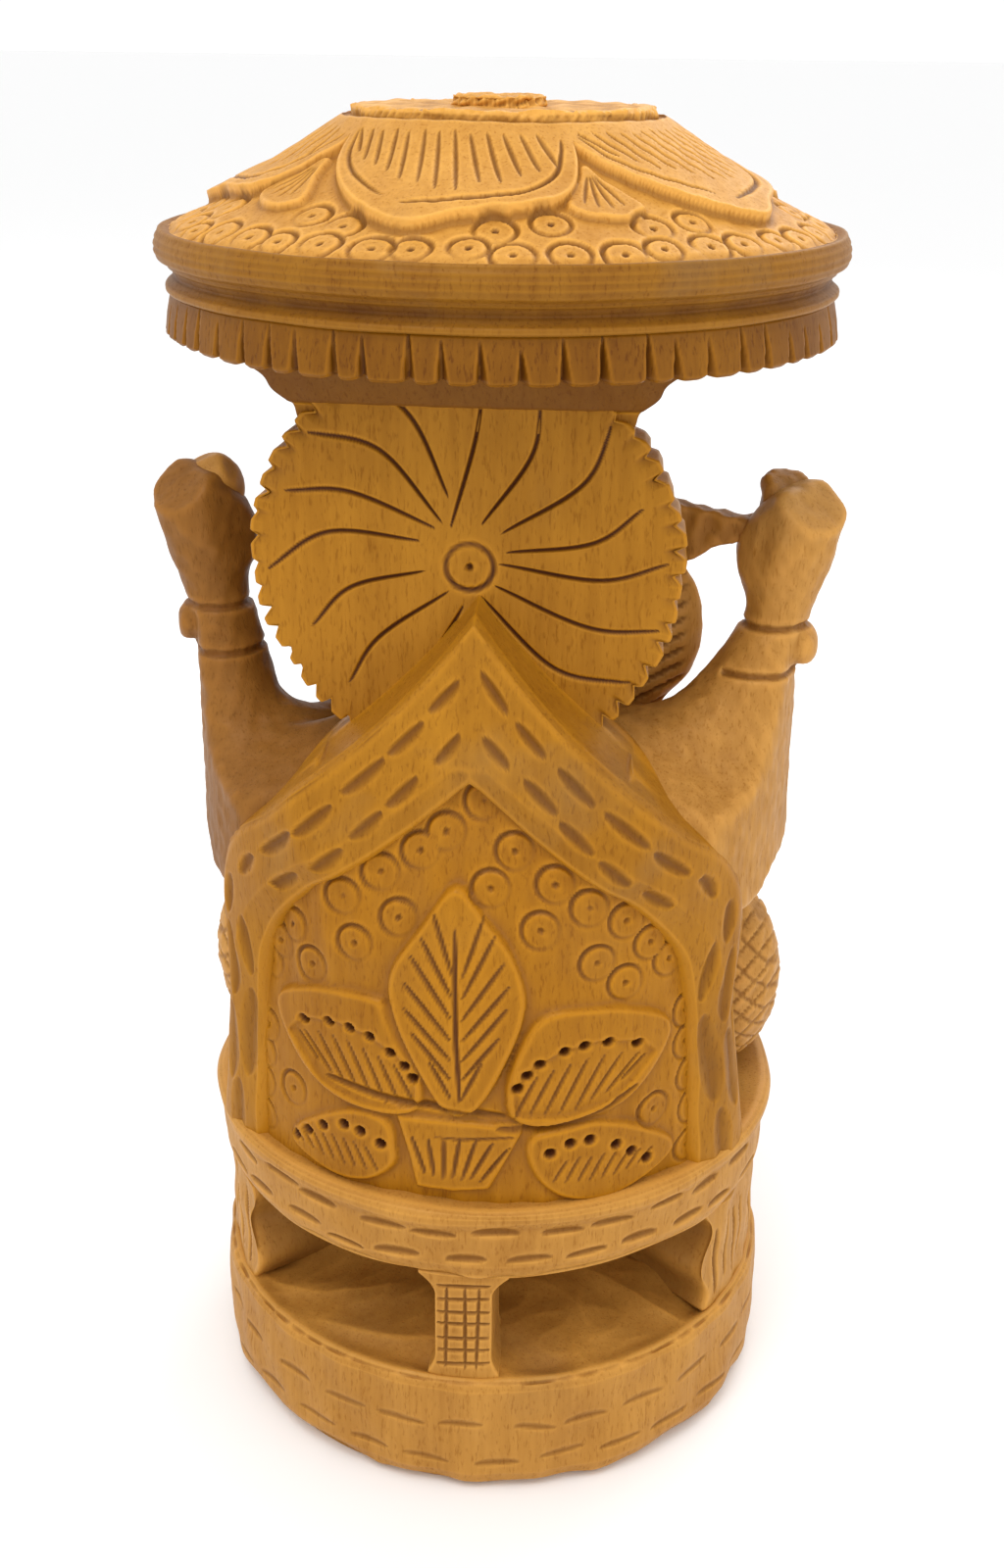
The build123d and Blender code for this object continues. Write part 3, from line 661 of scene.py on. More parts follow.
def makeCanopyDome():
    c = canopy
    skin = turned([
        (0, coneFootHeight - 2.5, 1), (c["coneFoot"] - 0.3, coneFootHeight - 1.5, 5),
        (c["coneFoot"], coneFootHeight, 0.8),
        (c["coneTop"], coneTopHeight, 0.25), (c["coneTop"] - 0.3, plateauTop - 0.25, 0.3),
        (c["coneTop"] - 0.7, plateauTop, 0.3), (0, plateauTop, 1.6),
    ], c["columns"])
    slope = (coneTopHeight - skin["z"]) / (coneTopHeight - coneFootHeight) * coneLength
    onCone = ((skin["z"] <= coneTopHeight + 0.01) & (skin["r"] >= c["coneTop"] - 0.01)
              & (slope <= coneLength + 0.01))
    carving = turnedCarving(skin, np.where(onCone, slope, -50.0))
    raised = np.zeros(len(slope))
    pitch = turn / c["petals"]
    # petals: broad and lopsided, each point leaning the same way all round
    for k in range(c["petals"]):
        middle = math.radians(10.5) + k * pitch
        wide = 0.63 + dice.normal(0, 0.01)

        def spot(share, down):
            # across in mm at that slope place, so that the outline follows the widening cone
            return (share * wide * (c["coneTop"] + down * 0.875), down)

        edge = smoothPath([
            spot(1.02, -0.5), spot(1.0, 2.6), spot(0.85, 6.0), spot(0.62, 9.8), spot(0.34, 13.6),
            spot(0.02, 16.3),
            spot(-0.24, 14.3), spot(-0.62, 12.9), spot(-0.83, 10.6), spot(-0.95, 6.2), spot(-1.0, 2.2),
            spot(-1.02, -0.5),
        ], 5)
        anchor = (middle, 0.0)
        cover = carving.inside(anchor, edge, 0.45)
        raised = np.maximum(raised, cover * (c["petalRise"] + 0.25 * softStep(slope, 5, 15)))
        inner = smoothPath([spot(0.10, 13.4), spot(-0.22, 12.4), spot(-0.54, 11.2), spot(-0.76, 8.4),
                            spot(-0.86, 5.0), spot(-0.9, 2.8)], 6)
        carving.stroke(anchor, inner, 0.85, 0.5, 0.6, 0.35)
        outer = smoothPath([spot(0.93, 2.2), spot(0.76, 5.8), spot(0.53, 9.0), spot(0.22, 12.4)], 6)
        carving.stroke(anchor, outer, 0.7, 0.4, 0.5, 0.4)
        for step in range(13):
            share = (step - 6) / 7.4
            deep = 10.8 - 6.2 * abs(share + 0.08) ** 1.4 + dice.normal(0, 0.25)
            start, stop = spot(share + 0.10, 1.5 + dice.uniform(0, 0.7)), spot(share * 0.92 - 0.06, deep)
            carving.stroke(anchor, [start, stop], 0.62, 0.34 + dice.uniform(0, 0.06), 0.42, 0.35)
        # the little leaf between two petals
        leafAnchor = (middle - pitch / 2 + 0.02, 0.0)
        leaf = smoothPath([(2.6, 12.6), (0.3, 8.4), (-0.6, 6.4), (-1.8, 8.8), (-4.4, 13.2), (-1.2, 14.4)], 5,
                          closed=True)
        raised = np.maximum(raised, carving.inside(leafAnchor, leaf, 0.5) * c["petalRise"] * 0.62)
        for a, b in ((1.2, 12.2), (0.0, 13.0), (-1.3, 13.3), (-2.6, 12.8)):
            carving.stroke(leafAnchor, [(a * 0.2 - 0.6, 8.0), (a, b)], 0.55, 0.3, 0.42, 0.4)
    # ring punches in the ground: one row along the rim, a looser one above it
    for row, (down, count, wander) in enumerate(((19.4, 44, 0.28), (15.6, 38, 0.5))):
        for k in range(count):
            phi = (k + 0.5 * row + dice.normal(0, 0.07)) * turn / count
            place = down + dice.normal(0, wander)
            free = True
            if row:
                pick, a, b = carving.near((phi, place), (-1.2, -1.2), (1.2, 1.2))
                free = len(pick) and raised[pick].max() < 0.08
            if free:
                tilt = (dice.normal(0, 0.35), -0.75 + dice.normal(0, 0.2))
                carving.ringPunch((phi, place), c["punchRadius"] * dice.uniform(0.9, 1.06), 0.38, 0.42, 0.42,
                                  0.42, tilt)
    ground = np.where(onCone, 0.18 * waver(skin["phi"] * skin["r"], slope, seed=3, size=9), 0)
    dip = 0.3 * softStep(slope, coneLength - 1.6, coneLength - 0.3) * onCone
    hollowed = 0.55 * np.sin(np.clip(slope / coneLength, 0, 1) * math.pi) * onCone
    # the lathe-cut wall of the plateau is chipped and torn
    wall = softStep(skin["z"], coneTopHeight - 0.1, coneTopHeight + 0.5) * (skin["r"] > c["coneTop"] - 2.0)
    torn = (waver(skin["phi"] * 16, skin["z"] * 3, seed=5, size=5.0)
            + 0.6 * waver(skin["phi"] * 16, skin["z"], seed=6, size=1.4))
    height = raised - carving.cut - dip - hollowed + ground * 0.5 - wall * 0.16 * (1 + torn)
    top = (skin["z"] > plateauTop - 0.05)
    height = np.where(top, -0.12 * (1
        + waver(skin["r"] * np.sin(skin["phi"]), skin["r"] * np.cos(skin["phi"]), seed=8, size=7)), height)
    piece = turnedObject("canopyDome", skin, height, carving.scorch)
    return settle(piece, "canopyWood", ["canopy_dome"])


def makeCanopyRim():
    c = canopy
    foot = c["rimFoot"]
    out = canopyRadius
    bead = roundedProfile([
        (c["coneFoot"] - 0.5, coneFootHeight - 0.2), (c["coneFoot"] + 0.15, coneFootHeight + 0.02),
        (out - 0.5, coneFootHeight - 0.05),
        (out - 0.1, foot + 2.1), (out, foot + 1.3), (out - 0.12, foot + 0.55), (out - 0.6, foot + 0.05),
        (out - 1.15, foot - 0.25),
    ], 0.25)
    hollow = roundedProfile([(out - 1.3, foot - 0.55), (out - 1.85, foot - 1.2), (out - 1.75, foot - 1.8),
                             (out - 1.15, foot - 2.3), (out - 0.95, foot - 2.85)], 0.3)
    stub = nodeBox("crown")[1][0] + 2.0
    soffit = roundedProfile([
        (out - 3.2, canopyBottom + 4.7), (out - 6.0, canopyBottom + 4.5), (stub + 6.0, canopyBottom + 4.2),
        (stub + 1.4, canopyBottom + 3.0), (stub, canopyBottom + 0.2)], 0.7)
    skin = turned([
        (0, coneFootHeight - 1.0, 4), (c["coneFoot"] - 1.2, coneFootHeight - 0.6, 4), *bead, *hollow,
        (out - 1.1, foot - 3.0, 0.5), (out - 3.2, foot - 3.4, 0.8), *soffit, (0, canopyBottom, 4),
    ], 640)
    # the turner's faint rings, and a slow unevenness
    rings = 0.05 * np.sin(skin["z"] * 9.0) * (skin["r"] > out - 2.5)
    uneven = 0.07 * waver(skin["phi"] * out, skin["z"] * 2, seed=12, size=22)
    # painted shade: darker towards the underside of the rim, and in the cove under the bead
    below = softStep(-skin["z"], -(foot - 2.4), -(foot - 4))
    coveShade = (np.exp(-(((skin["z"] - foot + 1.3) / 0.75) ** 2))
            * (0.75 + 0.25 * waver(skin["phi"] * out, seed=13, size=20)))
    piece = turnedObject("canopyRim", skin, np.minimum(rings + uneven * 0.6 - 0.05, 0.0),
                         np.maximum(0.75 * coveShade, 0.72 * below))
    return settle(piece, "skirtWood", [])


fringe = {"teeth": 60, "notchHeight": 4.1, "notchWidth": 0.5, "notchDepth": 1.25, "uneven": 0.24}


def makeFringe():
    low, high = nodeBox("canopy_fringe")
    out, bottom, top = high[0], low[2], high[2]
    skin = turned([
        (0, bottom + 2.0, 4), (out - 3.0, bottom + 1.4, 5), (out - 1.6, bottom + 0.1, 0.5),
        (out - 0.5, bottom, 0.3), (out - 0.08, bottom + 0.35, 0.2),
        (out - 0.3, bottom + 2.2, 0.22), (out - 0.75, top - 0.35, 0.22), (out - 1.1, top, 0.22),
        (out - 1.9, top + 0.2, 0.4), (0, top, 5),
    ], 1500)
    uneven = 0.16 * waver(skin["phi"] * out, seed=15, size=26) - 0.16
    piece = turnedObject("canopyFringe", skin, uneven * 0.5, np.zeros(len(uneven)))
    grow(piece, notchTree, {
        "Teeth": fringe["teeth"], "Bottom Height": float(bottom * mm),
        "Notch Height": fringe["notchHeight"] * mm,
        "Notch Width": fringe["notchWidth"] * mm, "Notch Depth": fringe["notchDepth"] * mm,
        "Outer Radius": float(out * mm), "Uneven": fringe["uneven"], "Seed": 4,
    }, woods["fringeWood"])
    return settle(piece, "fringeWood", ["canopy_fringe"])


def makeBoss():
    # the torn stub left on the plateau where the block was cut from the lathe
    low, high = nodeBox("canopy_boss")
    middle, half = (low + high) / 2, (high - low) / 2
    skin = turned([(0, low[2] - 0.6, 1), (half[0] - 0.1, low[2] - 0.6, 0.5), (half[0] - 0.1, low[2], 0.2),
                   (half[0] - 0.3, high[2] - 0.2, 0.15), (half[0] - 0.7, high[2] - 0.05, 0.2),
                   (0, high[2] - 0.1, 0.3)], 240)
    splinter = (waver(skin["phi"] * 6, skin["z"] * 4, seed=31, size=4) * 0.35
                + 0.25 * waver(skin["phi"] * 6, seed=32, size=1.1))
    rough = np.where(skin["z"] > high[2] - 0.15,
                     -0.22 * (1 + waver(skin["r"] * np.cos(skin["phi"]), skin["r"] * np.sin(skin["phi"]),
                                        seed=33, size=2.4)), splinter - 0.4)
    piece = turnedObject("canopyBoss", skin, np.minimum(rough, 0.0) * 0.6, np.zeros(len(rough)))
    piece.data.transform(Matrix.Translation((float(middle[0]) * mm, float(middle[1]) * mm, 0)))
    return settle(piece, "canopyWood", ["canopy_boss"])


print("canopy")
makeCanopyDome()
makeCanopyRim()
makeFringe()
makeBoss()


# Halo

halo = {
    "teeth": 54, "toothDepth": 1.0, "bossRadius": 2.4, "columns": 840, "aside": 1.6, "middle": (0.6, 0.2),
    "pared": 1.3, "paredAt": 218,
    # each swirl line: angle near the boss, halfway and at the rim (degrees, 0 = to the right), first and last radius
    "swirl": [
        (8, -4, 3, 3.0, 20), (24, 13, 21, 4, 18.5), (48, 38, 47, 4.8, 20.5), (75, 62, 68, 4.5, 18.5),
        (116, 88, 86, 4.4, 18),
        (107, 111, 118, 7.4, 21), (122, 128, 141, 5.2, 21), (132, 149, 159, 5.2, 20),
        (153, 168, 183, 5.6, 20.8),
        (187, 192, 203, 4.6, 17.6), (231, 220, 226, 3.4, 18), (262, 250, 258, 4, 17),
        (-69, -50, -35, 3.2, 20.5), (-36, -26, -17, 3.1, 20.5),
    ],
}


def makeHalo():
    low, high = nodeBox("halo_disc")
    edge, back, front = high[0], high[1], low[1]
    centre = high[2] - edge
    skin = turned([
        (0, -back, 0.27), (edge - 0.25, -back, 0.27), (edge, -back + 0.25, 0.2),
        (edge - 0.2, -front - 0.5, 1.1),
        (edge - 0.8, -front, 0.7), (0, -front, 1.1)], halo["columns"])
    a, b = -skin["r"] * np.sin(skin["phi"]), skin["r"] * np.cos(skin["phi"])
    face = (skin["z"] < -back + 0.05)
    carving = Carving(np.where(face, a, 500.0), b)

    def spot(angle, r):
        return r * math.cos(math.radians(angle)), r * math.sin(math.radians(angle))

    for first, half, final, near, far in halo["swirl"]:
        line = smoothPath([spot(first, near), spot(half, near * 0.4 + far * 0.6), spot(final, far)], 16)
        carving.stroke(halo["middle"], line, 0.62, 0.5, 1.0, 0.3)
    carving.ringPunch(halo["middle"], halo["bossRadius"], 0.34, 0.5, 0.95, 0.5, (0.1, -0.25))
    # saw teeth: one knife nick each, steep above and shallow below
    place = skin["phi"] * halo["teeth"] / turn
    tooth = np.floor(place)
    luck = np.random.default_rng(9).uniform(-1, 1, (3, halo["teeth"] + 2))
    index = (tooth % halo["teeth"]).astype(int)
    off = place - tooth - 0.5 - 0.1 * luck[0][index]
    off = np.where(np.sin(skin["phi"]) > 0, off, -off)
    nick = np.clip(1 - np.where(off > 0, off / 0.42, -off / 0.16), 0, 1) * (0.9 + 0.4 * luck[1][index])
    reach = halo["toothDepth"] + 0.9
    share = nick * softStep(skin["r"], edge - reach * nick - 0.35, edge)
    radius = skin["r"] - halo["toothDepth"] * np.clip(share, 0, 1.2)
    chipped = 0.25 * waver(skin["phi"] * edge, seed=24, size=9) * softStep(skin["r"], edge - 3, edge)
    # the rim was pared flatter at the lower left
    pared = halo["pared"] * np.exp(-(((np.degrees(np.arctan2(b, a)) % 360) - halo["paredAt"]) / 25) ** 2)
    skin["r"] = radius + chipped - (0.5 + pared) * softStep(skin["r"], edge - 3, edge)
    chip = nick * softStep(skin["r"], edge - 3.0, edge - 0.6) * face
    faceWaver = 0.12 * waver(a, b, seed=25, size=17) - 0.1
    sunk = carving.cut + 0.55 * chip - np.where(face, faceWaver, 0)
    piece = turnedObject("haloDisc", skin, -sunk * face, np.maximum(carving.scorch, 0.6 * chip))
    piece.data.transform(Matrix.Translation((halo["aside"] * mm, 0, centre * mm)) @ Matrix.Rotation(math.pi
        / 2, 4, "X"))
    return settle(piece, "haloWood", ["halo_disc"])


# the block between halo and umbrella flares into the soffit, with a ledge over the halo face
neck = {"foot": -2.8, "top": 5.2, "ledge": -0.5, "half": (15.9, 22.4), "overhang": (0.7, 3.2)}


def makeNeck():
    low, high = nodeBox("halo_disc")

    def section(z):
        up = z - canopyBottom
        share = np.clip((up - neck["foot"]) / (neck["top"] - neck["foot"]), 0, 1)
        half = neck["half"][0] + (neck["half"][1] - neck["half"][0]) * share**1.15 + 0.25 * math.sin(z * 2.1)
        over = (neck["overhang"][0] + (neck["overhang"][1] - neck["overhang"][0]) * max(up - neck["ledge"],
            0) / (neck["top"] - neck["ledge"]))
        back = high[1] - 0.45 + over * float(softStep(up, neck["ledge"] - 0.15, neck["ledge"] + 0.3))
        front = low[1] + 0.5 - 1.5 * share
        x = np.linspace(-half, half, 160)
        y = np.linspace(back, front, 26)[1:]
        rear = np.column_stack([x, back - 0.5 * (np.abs(x) / half) ** 6
                                + 0.12 * waver(x, x * 0 + z, seed=26, size=9)])
        return np.vstack([rear, np.column_stack([x[-1] + 0 * y, y - 0.5]),
                          np.column_stack([x[::-1][1:], x[1:] * 0 + front - 0.5]),
                          np.column_stack([x[0] + 0 * y[1:], y[::-1][1:] - 0.5])])

    points, faces = stacked(section, canopyBottom + np.linspace(neck["foot"], neck["top"], 64))
    shade = softStep(points[:, 2] - canopyBottom, neck["ledge"] - 0.2, neck["ledge"] + 0.2) * 0.62
    points[:, 0] += halo["aside"]
    piece = newObject("haloNeck", points, faces, shade)
    return settle(piece, "haloWood", [])


# Throne

throne = {
    # half outlines from foot to apex as (across, height): the recess line and the outer ridge beside it
    "recess": [(25.9, 37.4), (25.5, 49), (24.7, 59.0), (22.8, 66.5), (18.2, 72.6), (0, 85.8)],
    "ridge": [(30.6, 37.4), (29.2, 49), (28.2, 58.5), (28.8, 67), (27.0, 75.0), (0, 101.6)],
    "bevelWidth": 2.5, "bevelDrop": 1.15, "edgeWidth": 0.8, "edgeDrop": 1.0, "depth": 2.2,
    "leanFrom": 58.5, "lean": math.tan(math.radians(11)), "radius": 34.0,
}


def throneRadius(theta, z, radius):
    # the turned back of the throne, cut away by the slope it leans to above the waist
    slope = (radius - np.maximum(z - throne["leanFrom"], 0) * throne["lean"]) / np.cos(theta)
    gap = np.clip((slope - radius) / 1.6, -1, 1)
    return np.where(gap >= 1, radius,
                    np.where(gap <= -1, slope, np.minimum(slope, radius) - 0.4 * (1 - np.abs(gap)) ** 2))


def alongLine(x, z, line):
    # distance along the line to the nearest place on it, and distance from it
    best = np.full(len(x), 1e9)
    along = np.zeros(len(x))
    gone = 0.0
    for (ax, az), (bx, bz) in zip(line, line[1:]):
        length = math.hypot(bx - ax, bz - az)
        t = np.clip(((x - ax) * (bx - ax) + (z - az) * (bz - az)) / length**2, 0, 1)
        away = np.hypot(x - ax - t * (bx - ax), z - az - t * (bz - az))
        along = np.where(away < best, gone + t * length, along)
        best = np.minimum(best, away)
        gone += length
    return along, best


def halfLine(name):
    # from the foot up round the shoulder, then almost straight to the apex
    points = throne[name]
    rake = np.array(points[-1]) - points[-2]
    bend = smoothPath([*points[:-1], tuple(np.array(points[-2]) + rake * 0.2)], 14)
    return np.vstack([bend, np.array(points[-2]) + rake * np.linspace(0.25, 1, 12)[:, None]])


def makeThroneFrame():
    recess, ridge = halfLine("recess"), halfLine("ridge")
    middle = (recess + ridge) / 2
    gone = np.append(0, np.cumsum(np.linalg.norm(np.diff(middle, axis=0), axis=1)))
    count = int(300 * density)
    even = np.linspace(0, gone[-1], count)
    inner = np.stack([np.interp(even, gone, recess[:, k]) for k in (0, 1)], axis=1)
    outer = np.stack([np.interp(even, gone, ridge[:, k]) for k in (0, 1)], axis=1)
    flip = np.array([-1, 1])
    inner = np.vstack([inner, (inner * flip)[-2::-1]])
    outer = np.vstack([outer, (outer * flip)[-2::-1]])
    across = (outer - inner) / np.linalg.norm(outer - inner, axis=1)[:, None]
    # one section: recess wall, face, bevelled outer edge
    faceRows = int(40 * density)
    spots = [(0, -0.5, 3.4), (0, -0.4, 2.4), (0, -0.25, 1.7)]
    spots += [(k / faceRows, 0.0, None) for k in range(faceRows + 1)]
    spots += [(1, throne["edgeWidth"] * k / 7, throne["edgeDrop"] * (k / 7) ** 1.3) for k in range(1, 8)]
    flat = np.concatenate([inner + (outer - inner) * share + across * off for share, off, _ in spots])
    drop = np.concatenate([np.full(len(inner), np.nan if d is None else d) for _, _, d in spots])
    x, z = flat.T
    along, fromRidge = alongLine(np.abs(x), z, ridge[::3][::-1])
    _, fromRecess = alongLine(np.abs(x), z, recess[::3])
    face = np.isnan(drop)
    bevel = throne["bevelDrop"] * np.clip(1 - fromRecess / throne["bevelWidth"], 0, 1)
    edge = 0.35 * np.clip(1 - fromRidge / 0.7, 0, 1) ** 2
    drop = np.where(face, bevel + edge, drop + np.where(drop < 2, 0.35, 0))
    carving = Carving(np.where(x < 0, -along, along), np.where(face, fromRidge, -fromRidge))
    for side in (1, -1):
        heel = 0.66 if side > 0 else 0.5
        for k in range(6):
            start = 1.7 + k * 6.25 + dice.normal(0, 0.25)
            v = 2.7 + dice.normal(0, 0.12)
            tip = (side * (start + 5.1 + dice.normal(0, 0.3)), v + dice.normal(0, 0.2))
            carving.stroke((0, 0), [(side * start, v), tip], 1.7, 0.62, 0.42, 0.42, heel)
        for k in range(5):
            start = 6.2 + k * 5.7 + dice.normal(0, 0.3)
            v = 6.5 + dice.normal(0, 0.15)
            tip = (side * (start + 4.3 + dice.normal(0, 0.3)), v + dice.normal(0, 0.2))
            carving.stroke((0, 0), [(side * start, v), tip], 1.8, 0.6, 0.42, 0.42, heel)
        # long upright cuts on the stiles
        for start, length, v, wide in ((39.5, 5.5, 1.3, 1.5), (46, 9, 1.0, 1.6), (44, 7.5, 3.1, 1.4),
            (53, 12, 2.6, 2.2), (56, 11, 0.6, 1.8), (66, 9, 2.0, 1.8)):
            carving.stroke((0, 0), [(side * start, v), (side * (start + length), v + dice.normal(0.2, 0.3))],
                           wide, 0.62, 0.34, 0.5)
    uneven = 0.14 * waver(x, z, seed=41, size=13) * face
    drop = drop + carving.cut + uneven
    scorch = carving.scorch
    theta = np.arcsin(np.clip(x / throne["radius"], -0.97, 0.97))
    radius = throneRadius(theta, z, throne["radius"]) - drop
    points = aboutAxis(radius, theta, z)
    along = len(inner)
    rows = list(points.reshape(len(spots), along, 3))
    # the outer wall: hollowed out to the halo above the shoulders, straight below them
    last = rows[-1]
    high = softStep(last[:, 2], 82, 90)
    foot = np.where(high > 0.5, 20.2, last[:, 1] - 3.0)
    for k in range(1, 11):
        share = k / 10
        spread = across * (1.1 * high * share**2.4)[:, None]
        rows.append(np.stack([last[:, 0] + spread[:, 0], last[:, 1] + (foot - last[:, 1]) * share,
                              last[:, 2] + spread[:, 1]], axis=1))
    last = rows[-1]
    front = throneFront + 7.5 * softStep(outer[:, 1], 72, 77)
    for k in range(1, 7):
        rows.append(np.stack([last[:, 0], last[:, 1] + (front - last[:, 1]) * k / 6, last[:, 2]], axis=1))
    for share in (0.75, 0.4, 0.0):
        line = inner + (outer - inner) * share
        rows.append(np.stack([line[:, 0], front, line[:, 1]], axis=1))
    rows.append(np.stack([inner[:, 0], (rows[0][:, 1] + front) / 2, inner[:, 1]], axis=1))
    skin = np.stack(rows, axis=1).reshape(-1, 3)
    section = len(rows)
    faces = outwardFaces(skin, gridFaces(along, section)).tolist()
    climbing = skin[0, 2] < skin[section, 2]
    ends = [list(range(section)), list(range((along - 1) * section, along * section))]
    ends[0 if climbing else 1].reverse()
    scorch = np.stack([*scorch.reshape(len(spots), along), *[np.zeros(along)] * (section - len(spots))],
                      axis=1).reshape(-1)
    piece = newObject("throneFrame", skin, faces + ends, scorch)
    return settle(piece, "gableWood", ["throne_frame"])


# Carved back panel

panelLook = {
    "arcStep": 0.25, "relief": 0.95, "ringRadius": 2.0, "ringLine": 0.32, "ringDepth": 0.42,
    "holeRadius": 0.72,
    "firstRow": (3.0, 4.5, 26), "secondRow": (8.0, 4.7, 18),
}


def bow(x):
    # across the panel measured round its curve
    radius = throne["radius"] - throne["depth"]
    return radius * math.asin(x / radius)


def bowed(points, side=1):
    return [(side * bow(x), z) for x, z in points]


def makePanel():
    radius = throne["radius"] - throne["depth"]
    half = bow(26.8)
    columns = int(2 * half / panelLook["arcStep"] * density)
    rows = int(50.5 / panelLook["arcStep"] * density)
    recess = halfLine("recess")[::-1]
    across = np.linspace(-half, half, columns)
    top = np.interp(np.abs(radius * np.sin(across / radius)) - 0.8, recess[:, 0], recess[:, 1]) + 1.0
    foot = 37.2
    z = (foot + np.linspace(0, 1, rows)[:, None] * (top - foot)).ravel()
    s = np.tile(across, rows)
    carving = Carving(s, z)
    here = (0.0, 0.0)
    high = panelLook["relief"]
    raised = np.zeros(len(s))

    def lift(outline, height, slope=0.55):
        cover = carving.inside(here, smoothPath(outline, 5, closed=True), slope) * height
        np.maximum(raised, cover, out=raised)

    def line(points, width, depth, dark, taper=0.4, heel=0.5):
        carving.stroke(here, points, width, depth, dark, taper, heel)

    def holes(path, count):
        path = smoothPath(path, 8)
        for k in range(count):
            x, y = path[int(k / (count - 1) * (len(path) - 1))]
            pick, a, b = carving.near((x + dice.normal(0, 0.1), y + dice.normal(0, 0.1)), (-1.2, -1.2),
                                      (1.2, 1.2))
            pit = np.clip(1 - np.hypot(a, b) / panelLook["holeRadius"], 0, 1)
            carving.cut[pick] = np.maximum(carving.cut[pick], 1.5 * pit)
            carving.scorch[pick] = np.maximum(carving.scorch[pick], softStep(pit, 0, 0.35))

    # the pot, and the rim line over it
    pot = [(6.9, 48.4), (5.6, 43.6), (4.9, 40.2), (1.2, 40.0), (-2.5, 40.5), (-4.3, 44.2), (-6.0, 47.9),
           (0.4, 48.4)]
    cover = carving.inside(here, np.array(bowed(pot)), 0.5) * high * 0.85
    np.maximum(raised, cover, out=raised)
    for k in range(7):
        share = (k - 3) / 3
        top, foot = 0.4 + share * 5.2, 1.2 + share * 2.9
        line([(bow(foot), 41.0 + dice.uniform(0, 0.6)),
              (bow(top), 47.0 - 0.9 * abs(share) + dice.uniform(-0.4, 0.3))], 0.62, 0.5, 0.62, 0.35)
    line([(bow(-5.6), 47.0), (bow(0.5), 46.4), (bow(3.2), 46.5)], 0.5, 0.3, 0.5)
    line(smoothPath(bowed([(15.2, 51.0), (8.5, 50.2), (2.0, 49.7), (-4.5, 48.9)]), 6), 1.25, 0.75, 0.5, 0.25,
         0.3)
    line(smoothPath(bowed([(-3.4, 48.0), (-9, 48.0), (-14.2, 49.2), (-17.6, 51.6)]), 6), 1.3, 0.8, 0.5, 0.25,
         0.7)
    # upper leaves, one each side, smooth above their row of holes and hatched below it
    for side, tall in ((1, 0.0), (-1, -0.4)):
        leaf = [(5.2, 50.0), (5.6, 57.0), (8.2, 61.4), (12.6, 61.8), (17.0, 60.8), (20.6, 58.2), (19.4, 54.0),
                (16.0, 50.2), (11.0, 48.8)]
        leaf = [(x, y + tall) for x, y in leaf]
        lift(bowed(leaf, side), high * 0.95, 0.8)
        row = [(5.4, 53.2 + tall), (7.2, 55.6 + tall), (10.2, 57.4 + tall), (13.6, 57.9 + tall),
               (17.6, 57.0 + tall)]
        below = carving.inside(here, np.array(bowed(row
            + [(19.0, 55.0), (15.6, 50.6), (10.8, 49.4), (5.6, 49.8)], side)), 0.6)
        raised -= 0.4 * below * (raised > 0.3)
        for k in range(9):
            x = 5.0 + k * 1.55
            foot = (side * bow(x + 0.2), 49.4 + 0.05 * (x - 8) ** 2 * (x > 8) + dice.uniform(0, 0.4) + tall)
            top = (side * bow(min(x + 2.6 + 0.15 * k, 18.6)),
                   54.2 + 2.2 * math.sin(min((x - 4) / 11, 1) * 2.6) + tall)
            if k < 8:
                line([foot, top], 0.55, 0.42, 0.42, 0.35)
        holes(bowed(row, side), 7)
        # lower leaves beside the pot
        leaf = [(6.9, 45.2), (8.4, 47.2), (13.6, 47.6), (18.4, 45.4), (21.6, 41.8), (16.4, 38.6),
                (11.6, 38.8), (8.4, 41.2)]
        if side > 0:
            leaf = [(7.8, 44.6), (8.6, 47.4), (12.6, 47.4), (17.6, 44.0), (19.4, 41.0), (14.8, 39.2),
                    (10.8, 39.8), (8.0, 42.2)]
        lift(bowed(leaf, side), high * 0.85, 0.7)
        row = [(9.0, 44.6), (11.6, 45.8), (14.6, 45.2), (17.2, 43.4), (19.0, 41.6)]
        for k in range(8):
            x = 9.2 + k * 1.25
            line([(side * bow(x + 0.1), 40.6 + 0.05 * (k - 3) ** 2),
                  (side * bow(x + 1.6), 44.0 - 0.28 * max(k - 3, 0) + dice.uniform(-0.2, 0.2))], 0.5, 0.36,
                  0.4, 0.35)
        holes(bowed(row, side), 6)
    # the middle leaf stands in front of both
    leaf = [(1.3, 74.4), (-1.9, 71.0), (-4.6, 67.6), (-5.9, 62.6), (-4.2, 56.6), (-1.2, 50.6), (1.6, 49.8),
            (4.6, 54.6), (7.2, 61.0), (7.4, 65.4), (4.6, 70.2)]
    cover = carving.inside(here, smoothPath(bowed(leaf), 5, closed=True), 0.8)
    raised = np.where(cover > 0, np.maximum(raised * (1 - cover), cover * high * 1.2), raised)
    trench = (carving.inside(here,
                             smoothPath(bowed([(1.3 + (x - 1.3) * 1.14, 61 + (y - 61) * 1.05) for x,
                                               y in leaf]), 5, closed=True), 0.7) - cover)
    raised -= 0.35 * np.clip(trench, 0, 1) * (z < 62) * (raised > 0.2)
    line(smoothPath([(bow(0.4), 51.0), (bow(0.9), 60), (bow(1.2), 70.6)], 6), 0.7, 0.55, 0.9, 0.3)
    for side in (1, -1):
        for k in range(7):
            foot = 51.4 + k * 2.35
            reach = (2.4, 4.2, 5.0, 5.2, 4.6, 3.6, 2.4)[k]
            rise = 5.0 + 0.55 * min(k, 3)
            line([(bow(0.8 + side * 0.5), foot),
                  (bow(0.9 + side * (reach + 0.4)), foot + rise + dice.uniform(-0.4, 0.4))], 0.62, 0.45, 0.62,
                  0.35)
